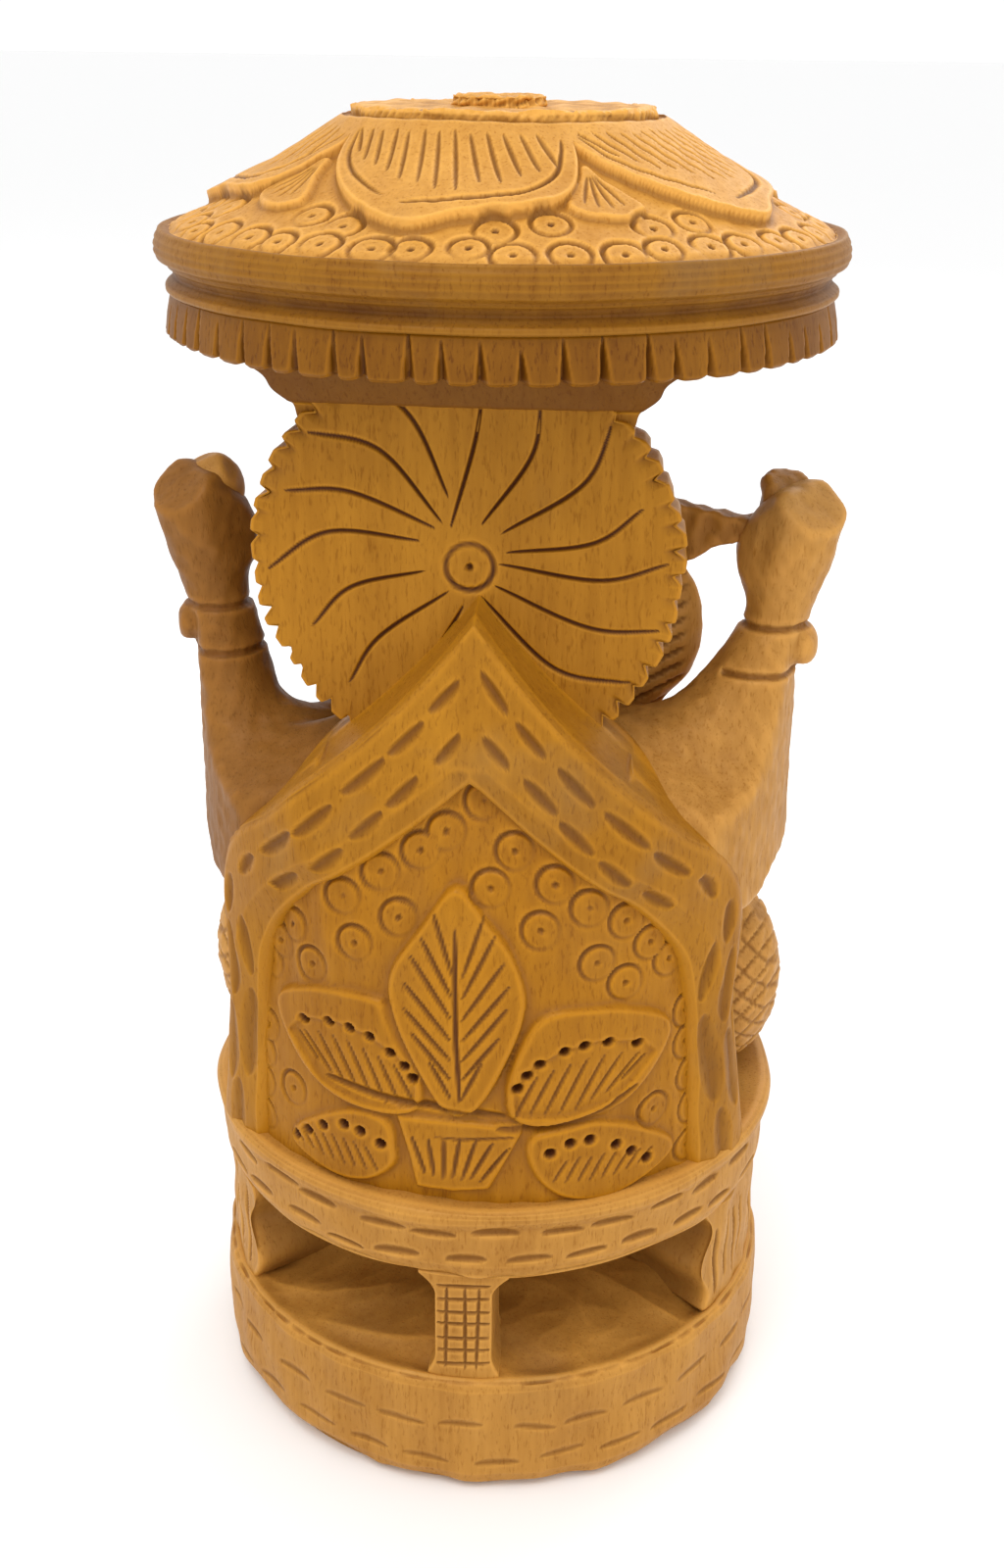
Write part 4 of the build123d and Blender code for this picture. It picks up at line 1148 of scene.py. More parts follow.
    # ground: slow gouge marks, and ring punches in rows that follow the arch
    ground = 0.16 * waver(s, z, seed=51, size=8)
    arch = np.array([(bow(min(x, 26.2)), y) for x, y in halfLine("recess")])
    theta = s / radius
    face = (throneRadius(theta, z, throne["radius"]) - throne["depth"] + raised - carving.cut
            + ground * (raised < 0.1))
    points = aboutAxis(face, theta, z)
    grid = np.arange(len(s)).reshape(rows, columns)
    border = np.concatenate([grid[0], grid[1:, -1], grid[-1, -2::-1], grid[-2:0:-1, 0]])
    wall = points[border].copy()
    wall[:, 1] = throneFront + 0.3
    first = len(points)
    points = np.vstack([points, wall])
    count = len(border)
    ring = np.arange(count)
    following = (ring + 1) % count
    sides = np.stack([border, border[following], first + following, first + ring], axis=1)
    faces = np.vstack([gridFaces(rows, columns, around=False), sides[:, ::-1]])
    loops = outwardFaces(points, faces)
    back = list(range(first, first + count))
    if loops[0, 0] != faces[0, 0]:
        back.reverse()
    piece = newObject("thronePanel", points, loops.tolist() + [back],
                      np.append(carving.scorch, np.zeros(count)))
    # ring centres, walked along the arch at two distances inside it
    centres = []
    for inset, pitch, count in (panelLook["firstRow"], panelLook["secondRow"]):
        for side in (1, -1):
            for k in range(count):
                gone = k * pitch + (0.2 if side > 0 else pitch * 0.95) + dice.normal(0, 0.3)
                steps = np.append(0, np.cumsum(np.linalg.norm(np.diff(arch[::-1], axis=0), axis=1)))
                if gone > steps[-1] - 3:
                    continue
                x, y = (np.interp(gone, steps, arch[::-1, axis]) for axis in (0, 1))
                fx, fy = (np.interp(gone + 0.4, steps, arch[::-1, axis]) for axis in (0, 1))
                run = math.hypot(fx - x, fy - y)
                cx = x - (y - fy) / run * inset + dice.normal(0, 0.2)
                cy = y - (fx - x) / run * inset + dice.normal(0, 0.25)
                if cx < 1.6 and gone > 3:
                    continue
                cx *= side
                pick, a, b = carving.near((cx, cy), (-1.3, -1.3), (1.3, 1.3))
                if len(pick) and raised[pick].max() < 0.3 and all(math.hypot(cx - ox, cy - oy) > 3.4 for ox,
                    oy in centres):
                    centres.append((cx, cy))
    spots = []
    for cx, cy in centres:
        angle = cx / radius
        r = float(throneRadius(np.array([angle]), np.array([cy]), throne["radius"])[0]) - throne["depth"]
        spots.append((r * math.sin(angle) * mm, r * math.cos(angle) * mm, cy * mm))
    marks = bpy.data.meshes.new("ringCentres")
    marks.from_pydata(spots, [], [])
    holder = bpy.data.objects.new("ringCentres", marks)
    bpy.context.scene.collection.objects.link(holder)
    p = panelLook
    grow(piece, punchTree, {"Centres": holder, "Ring Radius": p["ringRadius"] * mm,
                            "Line Width": p["ringLine"] * mm,
                            "Depth": p["ringDepth"] * mm, "Dot Radius": 0.4 * mm}, woods["panelWood"])
    bpy.data.objects.remove(holder)
    return settle(piece, "panelWood", ["throne_panel"])


print("halo and throne")
makeHalo()
makeNeck()
makeThroneFrame()
makePanel()


# Seat and base

storey = {
    "seatDashes": (31, 31.8, 35.4), "seatDashLength": 5.2, "baseDashes": (28, 9.4, 4.4),
    "baseDashLength": 5.4,
    "rimHeight": 15.5, "wallAngle": 34.0, "wallFoot": 15.2, "postHalfWidth": 3.3, "postFlare": 1.9,
    "postFlareHeight": 2.6, "postDepth": 9.0,
}


def dashRows(carving, count, heights, length, depth, width):
    # two rows of short level chips, the second shifted half a step
    for row, height in enumerate(heights):
        for k in range(count):
            phi = (k + 0.5 * row + dice.normal(0, 0.06)) * turn / count
            z = height + dice.normal(0, 0.22)
            reach = length * dice.uniform(0.42, 0.56)
            carving.stroke((phi, z), [(-reach, dice.normal(0, 0.22)), (reach, dice.normal(0, 0.22))],
                           width * dice.uniform(0.85, 1.2), depth * dice.uniform(0.8, 1.1), 0.36, 0.4, 0.7)


def makeSeatRing():
    low, high = seatBottom, seatTop
    out = seatRadius
    skin = turned([
        (0, low, 5), (out - 3, low, 3), (out - 1.9, low + 0.15, 0.5), (out - 1.25, low + 0.7, 0.25),
        (out - 0.8, low + 2.2, 0.25), (out - 0.45, high - 2.6, 0.24),
        (out - 0.05, high - 1.7, 0.24), (out, high - 0.9, 0.25), (out - 0.3, high - 0.35, 0.2),
        (out - 1.0, high, 0.3), (out - 12, high, 0.8), (0, high, 3)], 760)
    outside = skin["r"] > out - 1.6
    carving = turnedCarving(skin, np.where(outside, skin["z"], -90))
    count, first, second = storey["seatDashes"]
    dashRows(carving, count, (first, second), storey["seatDashLength"], 0.5, 1.25)
    facets = 0.16 * waver(skin["phi"] * out, skin["z"], seed=61, size=15) - 0.16
    lowEdge = (0.4 * (1 + waver(skin["phi"] * out, seed=62, size=12)) * softStep(-skin["z"], -(low + 1.6),
        -low) * outside)
    piece = turnedObject("seatRing", skin, facets - carving.cut - lowEdge, carving.scorch)
    return settle(piece, "baseWood", ["seat_ring"])


def makeBaseBlock():
    rim, floorTop = storey["rimHeight"], nodeBox("base_block")[1][2]
    out = baseRadius
    core = nodeBox("base_core")[1][0]
    skin = turned([
        (0, 0, 6), (out - 2.4, 0, 1), (out - 1.5, 0.25, 0.3), (out - 0.55, 1.2, 0.25),
        (out - 0.15, 2.6, 0.25), (out, 6, 0.25),
        (out - 0.05, rim - 1.2, 0.25), (out - 0.4, rim - 0.35, 0.2), (out - 1.0, rim, 0.3),
        (out - 3, rim + 0.25, 0.4), (core - 1, floorTop, 0.4), (0, floorTop, 4)], 760)
    outside = (skin["r"] > out - 1.2) & (skin["z"] < rim - 0.4)
    carving = turnedCarving(skin, np.where(outside, skin["z"], -90))
    count, first, second = storey["baseDashes"]
    dashRows(carving, count, (first, second), storey["baseDashLength"], 0.26, 1.15)
    facets = 0.2 * waver(skin["phi"] * out, skin["z"], seed=63, size=17) - 0.2
    # the lower edge was pared by hand: flats of different lengths
    flats = np.abs(waver(skin["phi"] * out, seed=64, size=22)) * 0.7
    pared = flats * softStep(-skin["z"], -3.4, -0.4) * (skin["r"] > out - 3)
    # chisel bites over the sloping floor
    onFloor = (skin["z"] > rim - 0.1) & (skin["r"] < out - 0.8)
    x, y = skin["r"] * np.sin(skin["phi"]), skin["r"] * np.cos(skin["phi"])
    bites = np.abs(waver(x, y, seed=65, size=19)) * 0.6 + np.abs(waver(x, y, seed=66, size=8)) * 0.16
    nick = (0.35 * np.abs(waver(skin["phi"] * out, seed=67, size=5)) * softStep(skin["z"], rim - 0.7, rim)
            * (skin["r"] > out - 3))
    raised = np.where(onFloor, -bites * softStep(out - 0.8 - skin["r"], 0, 2), facets - carving.cut - pared
                      - nick)
    raised = np.where(skin["z"] < 0.05, 0.0, raised)
    # a little painted shade over the floor of the open storey
    piece = turnedObject("baseBlock", skin, raised, carving.scorch * 0.8 + 0.1 * onFloor)
    return settle(piece, "baseWood", ["base_block"])


def makeCore():
    low, high = nodeBox("base_core")
    out = high[0]
    skin = turned([(0, low[2], 4), (out - 0.5, low[2], 0.7), (out - 0.3, low[2] + 0.2, 0.4),
                   (out - 0.3, high[2], 0.4), (0, high[2], 4)], 260)
    side = (skin["z"] > low[2] + 0.3) & (skin["z"] < high[2] - 0.1)
    gouge = (np.abs(np.sin(skin["phi"] * 8 + waver(skin["z"], seed=71, size=14))) * 0.8
             + 0.3 * (1 + waver(skin["phi"] * out, skin["z"], seed=72, size=5)))
    # the core is darkened all over: painted shade inside the openings
    piece = turnedObject("baseCore", skin, -gouge * side, np.zeros(len(side)) + 0.3)
    return settle(piece, "cutWood", ["base_core"])


def makePost(side):
    p = storey
    node = "rear_post" if side > 0 else "front_post"
    low, high = nodeBox(node)
    out = max(abs(low[1]), abs(high[1]))
    acrossCount, depthCount = int(44 * density), int(16 * density)

    def section(z):
        flare = (p["postFlare"] * (0.45 * np.clip(1 - (z - low[2]) / p["postFlareHeight"], 0, 1) ** 2
                                   + np.clip(1 - (high[2] - z) / p["postFlareHeight"], 0, 1) ** 2))
        half = p["postHalfWidth"] - 0.15 + flare
        x = np.linspace(-half, half, acrossCount)
        face = np.sqrt(out**2 - x**2) - 0.25 * (np.abs(x) / half) ** 8
        back = np.linspace(face[-1], out - p["postDepth"], depthCount)[1:]
        inner = np.linspace(half, -half, 12)[1:]
        front = np.linspace(out - p["postDepth"], face[0], depthCount)[1:-1]
        return np.vstack([np.column_stack([x, face]), np.column_stack([np.full(len(back), half), back]),
                          np.column_stack([inner, np.full(len(inner), out - p["postDepth"])]),
                          np.column_stack([np.full(len(front), -half), front])])

    points, faces = stacked(section, np.linspace(low[2] - 0.4, high[2] + 0.4, int(64 * density)))
    onFace = points[:, 1] > np.sqrt(out**2 - points[:, 0] ** 2) - 0.3
    carving = Carving(np.where(onFace, points[:, 0], 99.0), points[:, 2])
    for k in range(3):
        x = (k - 1) * 1.75 + dice.normal(0, 0.12)
        carving.stroke((0, 0), [(x + dice.normal(0, 0.2), low[2] + 0.9), (x, high[2] - 1.2)], 0.6, 0.45, 0.5,
                       0.25)
    for k in range(7):
        z = low[2] + 1.5 + k * 1.75 + dice.normal(0, 0.12)
        carving.stroke((0, 0), [(-3.0, z + 0.2), (3.0, z - 0.1 + dice.normal(0, 0.12))], 0.6, 0.42, 0.5, 0.25)
    points[:, 1] -= carving.cut + 0.12 * onFace
    points[:, :2] *= side
    if side < 0:
        carving.scorch *= 0.8
    piece = newObject("rearPost" if side > 0 else "frontPost", points, faces, carving.scorch)
    return settle(piece, "baseWood", [node])


def makeWall(side):
    # the solid quarter at each side of the open storey, scored with upright cuts
    name = "left" if side > 0 else "right"
    low, high = nodeBox(name + "_side_wall")
    out = max(abs(low[0]), abs(high[0]))
    half = math.radians(storey["wallAngle"])
    arc = np.linspace(-half, half, int(150 * density))

    def section(z):
        edge = half + 0.03 * math.sin(z * 0.7 + side)
        turned = arc * edge / half
        outer = np.column_stack([out * np.cos(turned), out * np.sin(turned)])
        ins = np.linspace(out, storey["wallFoot"], int(40 * density))[1:]
        bulge = 0.012 * np.sin((ins - 15) * 0.45 + z * 0.4)
        right = np.column_stack([ins * np.cos(edge + bulge), ins * np.sin(edge + bulge)])
        left = np.column_stack([ins * np.cos(edge + bulge), -ins * np.sin(edge + bulge)])[::-1]
        return np.vstack([outer, right, left])

    points, faces = stacked(section, np.linspace(low[2] - 0.3, high[2] + 0.3, int(56 * density)))
    radius = np.hypot(points[:, 0], points[:, 1])
    onFace = radius > out - 0.1
    angle = np.arctan2(points[:, 1], points[:, 0])
    carving = Carving(np.where(onFace, angle * out, 99.0), points[:, 2])
    for k in range(15):
        u = (k - 7) * 2.5 + dice.normal(0, 0.35)
        carving.stroke((0, 0), [(u, low[2] + 1 + dice.uniform(0, 1.6)),
                                (u + dice.normal(0, 0.4), high[2] - 1 - dice.uniform(0, 2))], 0.95, 0.5, 0.42,
                                0.3)
    cut = carving.cut + onFace * (0.25 + 0.2 * waver(angle * out, points[:, 2], seed=81, size=9))
    points[:, :2] *= (1 - cut / np.maximum(radius, 1))[:, None]
    points[:, 0] *= side
    points[:, 1] *= side
    # the inner faces darken away from the outer face: painted shade inside the openings
    inside = 0.4 * (1 - onFace) * softStep(out - radius, 0.3, 2.5)
    piece = newObject(name + "SideWall", points, faces, np.maximum(carving.scorch, inside))
    return settle(piece, "baseWood", [name + "_side_wall"])


print("seat and base")
makeSeatRing()
makeBaseBlock()
makeCore()
for side in (1, -1):
    makePost(side)
    makeWall(side)


# Figure: sculpted from rounded masses, then skinned

def seatPoint(x, y, z, side=1):
    return np.array([side * x, y, seatTop + z])


def roundBar(p, start, end, first, last):
    along = end - start
    t = np.clip(np.tensordot(along, p - start[:, None, None, None], 1) / (along @ along), 0, 1)
    away = p - start[:, None, None, None] - along[:, None, None, None] * t
    return np.sqrt((away**2).sum(0)) - (first + (last - first) * t)


def egg(p, centre, radii):
    local = (p - np.array(centre)[:, None, None, None]) / np.array(radii)[:, None, None, None]
    reach = np.sqrt((local**2).sum(0)) + 1e-6
    slope = np.sqrt(((local / np.array(radii)[:, None, None, None]) ** 2).sum(0)) + 1e-6
    return reach * (reach - 1) / slope


def plane(p, point, normal):
    normal = np.array(normal, float)
    normal /= np.linalg.norm(normal)
    return np.tensordot(normal, p - np.array(point, float)[:, None, None, None], 1)


def merge(a, b, soft):
    gap = np.clip(1 - np.abs(a - b) / soft, 0, 1)
    return np.minimum(a, b) - gap * gap * soft / 4


def massed(p, body, masses):
    # each mass: how softly it joins, then a bar's ends and radii or an egg's centre and radii
    for soft, *mass in masses:
        body = merge(body, egg(p, *mass) if len(mass) == 2 else roundBar(p, *mass), soft)
    return body


def trim(a, b, soft=0.5):
    return -merge(-a, -b, soft)


def skinField(field, low, step):
    # one point in every cell the surface passes through, joined across each crossed grid edge
    cells = np.array(field.shape) - 1
    flats, places, quads = [], [], []
    for axis in range(3):
        a = np.take(field, range(field.shape[axis] - 1), axis)
        b = np.take(field, range(1, field.shape[axis]), axis)
        crossed = np.nonzero((a < 0) != (b < 0))
        index = np.stack(crossed, axis=1)
        place = index.astype(float)
        place[:, axis] += a[crossed] / (a[crossed] - b[crossed])
        one, two = (axis + 1) % 3, (axis + 2) % 3
        corners = []
        for stepOne, stepTwo in ((0, 0), (1, 0), (1, 1), (0, 1)):
            cell = index.copy()
            cell[:, one] -= stepOne
            cell[:, two] -= stepTwo
            corners.append((cell[:, 0] * cells[1] + cell[:, 1]) * cells[2] + cell[:, 2])
            flats.append(corners[-1])
            places.append(place)
        quad = np.stack(corners, axis=1)
        outside = a[crossed] >= 0
        quad[outside] = quad[outside][:, ::-1]
        quads.append(quad)
    flat = np.concatenate(flats)
    found, index = np.unique(flat, return_inverse=True)
    hits = np.bincount(index)
    place = np.concatenate(places)
    points = np.stack([np.bincount(index, place[:, k]) / hits for k in range(3)], axis=1)
    faces = np.searchsorted(found, np.vstack(quads))
    return np.array(low) + points * step, outwardFaces(np.array(low) + points * step, faces)


def sculpt(name, nodes, box, step, shape, roughness=0.22, marks=None, material="figureWood"):
    # shape(p) gives the signed distance; marks(points, normals) gives depth and darkening of the tool marks
    step = step / density
    low, high = np.array(box[0], float) - 1.2, np.array(box[1], float) + 1.2
    axes = [np.arange(low[k], high[k], step) for k in range(3)]
    p = np.stack(np.meshgrid(*axes, indexing="ij"))
    field = shape(p)
    seed = len(name) * 7
    field = (field + roughness * (0.8 * np.abs(waver(*p, seed=seed, size=9))
        + 0.35 * waver(*p, seed=seed + 1, size=3.4)))
    edge = np.ones(field.shape, bool)
    edge[1:-1, 1:-1, 1:-1] = False
    field[edge] = np.maximum(field[edge], step)
    points, faces = skinField(field, low, step)
    scorch = np.zeros(len(points))
    if marks:
        corner = points[faces]
        normal = np.cross(corner[:, 2] - corner[:, 0], corner[:, 3] - corner[:, 1])
        total = np.zeros_like(points)
        for k in range(4):
            for axis in range(3):
                total[:, axis] += np.bincount(faces[:, k], normal[:, axis], len(points))
        total /= np.maximum(np.linalg.norm(total, axis=1), 1e-9)[:, None]
        depth, scorch = marks(points, total)
        points = points - total * depth[:, None]
    piece = newObject(name, points, faces.tolist(), scorch)
    return settle(piece, material, nodes)


def band(value, width):
    # 1 where the value is 0, falling smoothly to 0 at the given width
    return softStep(1 - np.abs(value) / width, 0, 1)


def lines(value, spacing, width):
    # 1 along evenly spaced lines of the given width, 0 between them
    return softStep(1 - np.abs((value / spacing + 0.5) % 1 - 0.5) * spacing / (width / 2), 0, 1)


figure = {"detail": 0.36, "beadRadius": 0.95, "beadSpacing": 1.75}
headCentre = nodeBox("crown")[0][2] - 9.4   # the crown's foot stands this far above the middle of the skull
headBack = 14.4
hip, knee = (10.0, -4.0, 7.4), (27.0, -8.0, 7.4)


def torsoShape(p):
    z0 = seatTop
    body = egg(p, (0, -2.5, z0 + 17), (17.6, 15.8, 17.5))
    body = massed(p, body, [
        (6, (0, -1, z0 + 34), (14.6, 11.5, 12)),
        (5, (0, -1, z0 + 6), (18.0, 16.5, 8)),
        (5, np.array([0, 0, z0 + 38.0]), np.array([0, 1, z0 + 50.0]), 9.0, 8.0),
    ])
    for side in (1, -1):
        body = merge(body, egg(p, (side * 6.4, -9.0, z0 + 36.5), (5.6, 4.2, 4.6)), 3)
    body = trim(body, plane(p, (0, throneFront + 0.6, 0), (0, 1, 0)), 0.4)
    return trim(body, plane(p, (0, 0, z0 - 0.4), (0, 0, -1)), 0.4)


def torsoMarks(points, normals):
    x, y, z = points.T
    height = z - seatTop
    front = y < 4
    # sacred thread, navel, waist cloth with its folds
    thread = band(height - 27 + x * 0.95, 0.8) * front
    navel = band(np.hypot(x - 0.6, height - 15.5), 1.3) * front
    belt = band(height - 9.5 + 0.02 * x * x, 0.8) * front
    folds = lines(np.arctan2(x, -y) * 14 + height * 0.4, 2.4, 1.0) * (height < 8.4) * front
    nipples = band(np.hypot(np.abs(x) - 6.8, height - 36.5), 0.9) * front
    cut = np.maximum.reduce([thread * 0.6, navel * 1.4, belt * 0.7, folds * 0.4, nipples * 0.4])
    return cut, np.clip(cut * 0.6, 0, 0.6)


def legShape(side, ankle, toe):
    def shape(p):
        start, bend = seatPoint(*hip, side), seatPoint(*knee, side)
        end, tip = seatPoint(*ankle, side), seatPoint(*toe, side)
        leg = roundBar(p, start, bend, 7.6, 7.3)
        leg = massed(p, leg, [
            (3.0, bend, end, 6.6, 4.5),
            (1.6, end, tip, 4.0, 3.0),
            (2, bend + np.array([side * 0.2, 0, -0.4]), (7.2, 7.6, 7.3)),
            (3, bend + np.array([side * -0.1, 7.5, 5.4]), (7.4, 8.0, 11.6)),
        ])
        leg = trim(leg, np.sqrt(p[0] ** 2 + p[1] ** 2) - 35.0, 1.0)
        return trim(leg, plane(p, (0, 0, seatTop + 0.15), (0, 0, -1)), 0.6)
    return shape


def legMarks(side, toe):
    tip = seatPoint(*toe, side)

    def marks(points, normals):
        x, y, z = points.T
        height = z - seatTop
        # the cloth is scored in diamonds over the thigh and knee and ends above the ankle
        along = np.abs(x) + 0.25 * y
        cloth = softStep(along, 14.5, 15.5)
        diamonds = np.maximum(lines(along + height * 0.85, 2.5, 0.75),
                              lines(along - height * 0.85, 2.5, 0.75))
        hem = band(along - 14.6, 0.7)
        toes = (lines(z * 0.2 + y, 1.5, 0.6) * (np.hypot(x - tip[0], y - tip[1]) < 4.6)
                * (side * (tip[0] - x) > -3.4) * softStep(np.abs(x - tip[0]), 0.6, 1.6))
        cut = np.maximum.reduce([0.24 * diamonds * cloth, 0.55 * hem, 0.45 * toes])
        return cut, np.clip(cut * 0.9, 0, 0.45)
    return marks


def headShape(p):
    z0 = headCentre
    skull = egg(p, (0, 0.2, z0 + 1), (12.0, 11.6, 12.0))
    skull = merge(skull, egg(p, (0, -9.5, z0 - 3), (6.8, 5.0, 9)), 4)
    for side in (1, -1):
        skull = massed(p, skull, [
            (2.5, (side * 5.2, -6.2, z0 + 6.6), (5.4, 5.6, 5.6)),
            (3, (side * 6.6, -8.4, z0 - 6.2), (4.0, 4.0, 5.0)),
        ])
        # almond eyes with a lid over each
        skull = massed(p, skull, [
            (0.8, (side * 6.4, -10.2, z0 + 1.0), (2.7, 1.7, 1.35)),
            (0.8, (side * 6.4, -10.0, z0 + 3.0), (3.5, 1.6, 0.8)),
        ])
    skull = merge(skull, roundBar(p, np.array([0, 0, z0 - 8.0]), np.array([0, -1.0, z0 - 13.0]), 9.0, 8.6), 3)
    return trim(skull, plane(p, (0, headBack, 0), (0, 1, 0)), 0.3)


def headMarks(points, normals):
    x, y, z = points.T
    up = z - headCentre
    front = y < -4
    brow = band(up - 10.2 + 0.03 * x * x, 0.5) * (np.abs(x) < 8)
    mark = np.maximum.reduce([band(np.abs(x) - 1.6 - 0.1 * up, 0.45) * (up > 3.4) * (up < 9.0),
                              band(np.hypot(x, up - 5.4), 0.8)])
    pupil = band(np.hypot(np.abs(x) - 6.2, up - 1.0), 0.75)
    rim = band(np.hypot((np.abs(x) - 6.4) / 2.9, (up - 1.0) / 1.5) - 1, 0.2)
    cut = np.maximum.reduce([brow * 0.45, mark * 0.5, pupil * 0.6, rim * 0.35]) * front
    return cut, np.clip(cut * 1.3, 0, 0.75)


def earShape(side):
    def shape(p):
        z0 = seatTop + 55
        x0 = side * 15.3
        y0 = nodeBox("halo_disc")[1][1] - 18.6
        fan = egg(p, (x0, y0, z0 + 1.5), (7.6, 2.7, 9.6))
        fan = merge(fan, egg(p, (x0 - side * 2.2, y0, z0 - 5.5), (4.6, 2.3, 5.9)), 2.5)
        return merge(fan, egg(p, (side * 10.5, y0 - 0.5, z0 + 2), (4.0, 3.2, 8)), 2.5) - 0.05
    return shape


def earMarks(side):
    def marks(points, normals):
        x, y, z = points.T
        a, b = side * x, z - seatTop - 55
        flat = np.abs(normals[:, 1]) > 0.45
        fold = band(np.hypot((a - 14.6) / 5.6, (b - 0.6) / 8.2) - 1, 0.14) * (normals[:, 1] < 0)
        hatch = lines(b - 0.5 * (a - 8), 1.75, 0.75) * (a > 12) * flat * softStep(21.6 - a, 0, 1.5)
        cut = np.maximum(fold * 0.5, hatch * 0.42)
        return cut, np.clip(cut * 1.3, 0, 0.6)
    return marks


def trunkShape(p):
    bowl = seatPoint(14.0, -25.5, 23.0)
    path = smoothPath([(0, -9.8, headCentre - 1), (0, -15.6, headCentre - 9), (0.6, -19.6, headCentre - 17),
                       (3.2, -22.4, headCentre - 25),
                       (7.2, -23.2, headCentre - 29.6), tuple(bowl + np.array([-2.5, 0.8, 7.0]))], 4)
    radii = np.interp(np.linspace(0, 1, len(path)), [0, 0.3, 0.6, 0.85, 1], [6.0, 4.8, 3.9, 3.1, 2.6])
    arm = roundBar(p, path[0], path[1], radii[0], radii[1])
    for start, end, first, last in zip(path[1:], path[2:], radii[1:], radii[2:]):
        arm = merge(arm, roundBar(p, start, end, first, last), 0.5)
    return arm


def trunkMarks(points, normals):
    x, y, z = points.T
    rings = lines(z - 0.3 * x + 0.012 * x * x, 2.3, 0.95) * (y < -13)
    return 0.45 * rings, 0.34 * rings


def tuskShape(side, length):
    def shape(p):
        root = np.array([side * 5.6, -9.9, headCentre - 6.0])
        along = np.array([side * 0.35, -1.0, -0.55])
        along /= np.linalg.norm(along)
        horn = roundBar(p, root, root + along * length, 1.75, 1.0)
        return trim(horn, plane(p, root + along * (length + 0.4), along), 0.3)
    return shape


def rearArmShape(side):
    # shoulder, elbow and forearm cut from one slab, with a cuff and a fist like a mallet head
    def shape(p):
        shoulder, elbow = seatPoint(13, 4, 42, side), seatPoint(27.6, 6.5, 36.5, side)
        wrist = seatPoint(30.4, 6.5, 57.0, side)
        arm = roundBar(p, shoulder, elbow, 6.8, 6.0)
        arm = merge(arm, roundBar(p, elbow, wrist, 6.2, 3.3), 3)
        # the slab of the block behind the upper arm, left up to its turned surface
        slab = roundBar(p, seatPoint(12, 16.5, 45.5, side), seatPoint(27.0, 15.5, 36.5, side), 5.6, 7.4)
        slab = trim(slab, plane(p, seatPoint(21.0, 15, 46.5, side), (side * 0.3, 0.5, 1)), 0.8)
        arm = merge(arm, slab, 3)
        arm = merge(arm, roundBar(p, seatPoint(27.0, 12, 38, side), seatPoint(30.2, 7.5, 55.0, side), 6.2,
                                  3.0), 3)
        if side > 0:
            arm = massed(p, arm, [
                (2.5, seatPoint(17.0, 9, 42.0), seatPoint(23.0, 9, 44.0), 4.6, 4.2),
                (2.5, seatPoint(28.4, 8, 46), seatPoint(30.6, 6.5, 57), 4.2, 3.5),
            ])
        else:
            arm = massed(p, arm, [
                (2.5, seatPoint(14.5, 10, 44.0, side), seatPoint(22.5, 10, 45.6, side), 5.4, 4.8),
                (2.5, seatPoint(22.5, 9, 45.6, side), seatPoint(29.2, 7, 54.5, side), 4.6, 3.9),
            ])
        arm = trim(arm, np.sqrt(p[0] ** 2 + p[1] ** 2) - 33.7, 0.8)
        arm = merge(arm, egg(p, seatPoint(33.6, 6, 56.4, side), (1.7, 3.2, 2.4)), 0.9)
        # the fist: a mallet-shaped block with a flat end tipped back and outwards
        hand = roundBar(p, wrist, seatPoint(31.4, 6, 67.0, side), 2.9, 4.9)
        hand = merge(hand, roundBar(p, seatPoint(30.6, 6, 66.0, side), seatPoint(33.0, 7.0, 71, side), 4.6,
                                    4.2), 1.5)
        hand = trim(hand, plane(p, seatPoint(33.2, 9.4, 71.4, side), (side * 0.5, 0.75, 0.9)), 0.4)
        hand = trim(hand, plane(p, seatPoint(31, 6, 73.6, side), (-side * 0.25, 0, 1)), 0.6)
        hand = trim(hand, plane(p, seatPoint(27.4, 8.6, 66, side), (-side * 0.75, 0.75, 0.1)), 0.6)
        return merge(arm, hand, 1.4)
    return shape


def rearArmMarks(side):
    def marks(points, normals):
        x, y, z = points.T
        a, b = side * x, z - seatTop
        bangle = np.maximum(band(b - 54.2, 0.55), band(b - 59.0, 0.6)) * (a > 25)
        armlet = band(a - 19.5, 0.5) * (b < 46) * (y < 2)
        fingers = lines(b + 0.2 * y, 2.1, 0.75) * (b > 63) * (b < 71) * (y < 4)
        cut = np.maximum.reduce([bangle * 0.5, armlet * 0.5, fingers * 0.55])
        return cut, np.clip(cut * 0.8, 0, 0.5)
    return marks


def leftPalmShape(p):
    bowl = seatPoint(14.0, -25.5, 23.0)
    arm = roundBar(p, seatPoint(13.5, -6.5, 38), seatPoint(24, -12.5, 25.5), 5.2, 4.5)
    arm = massed(p, arm, [
        (2.5, seatPoint(24, -12.5, 25.5), bowl + np.array([1.6, 1.6, -2.8]), 4.4, 3.0),
        (2, bowl + np.array([0.2, 0, -2.4]), (5.4, 4.6, 2.4)),
    ])
    return trim(arm, plane(p, bowl + np.array([0, 0, -0.1]), (0, 0.25, 1)), 0.3)


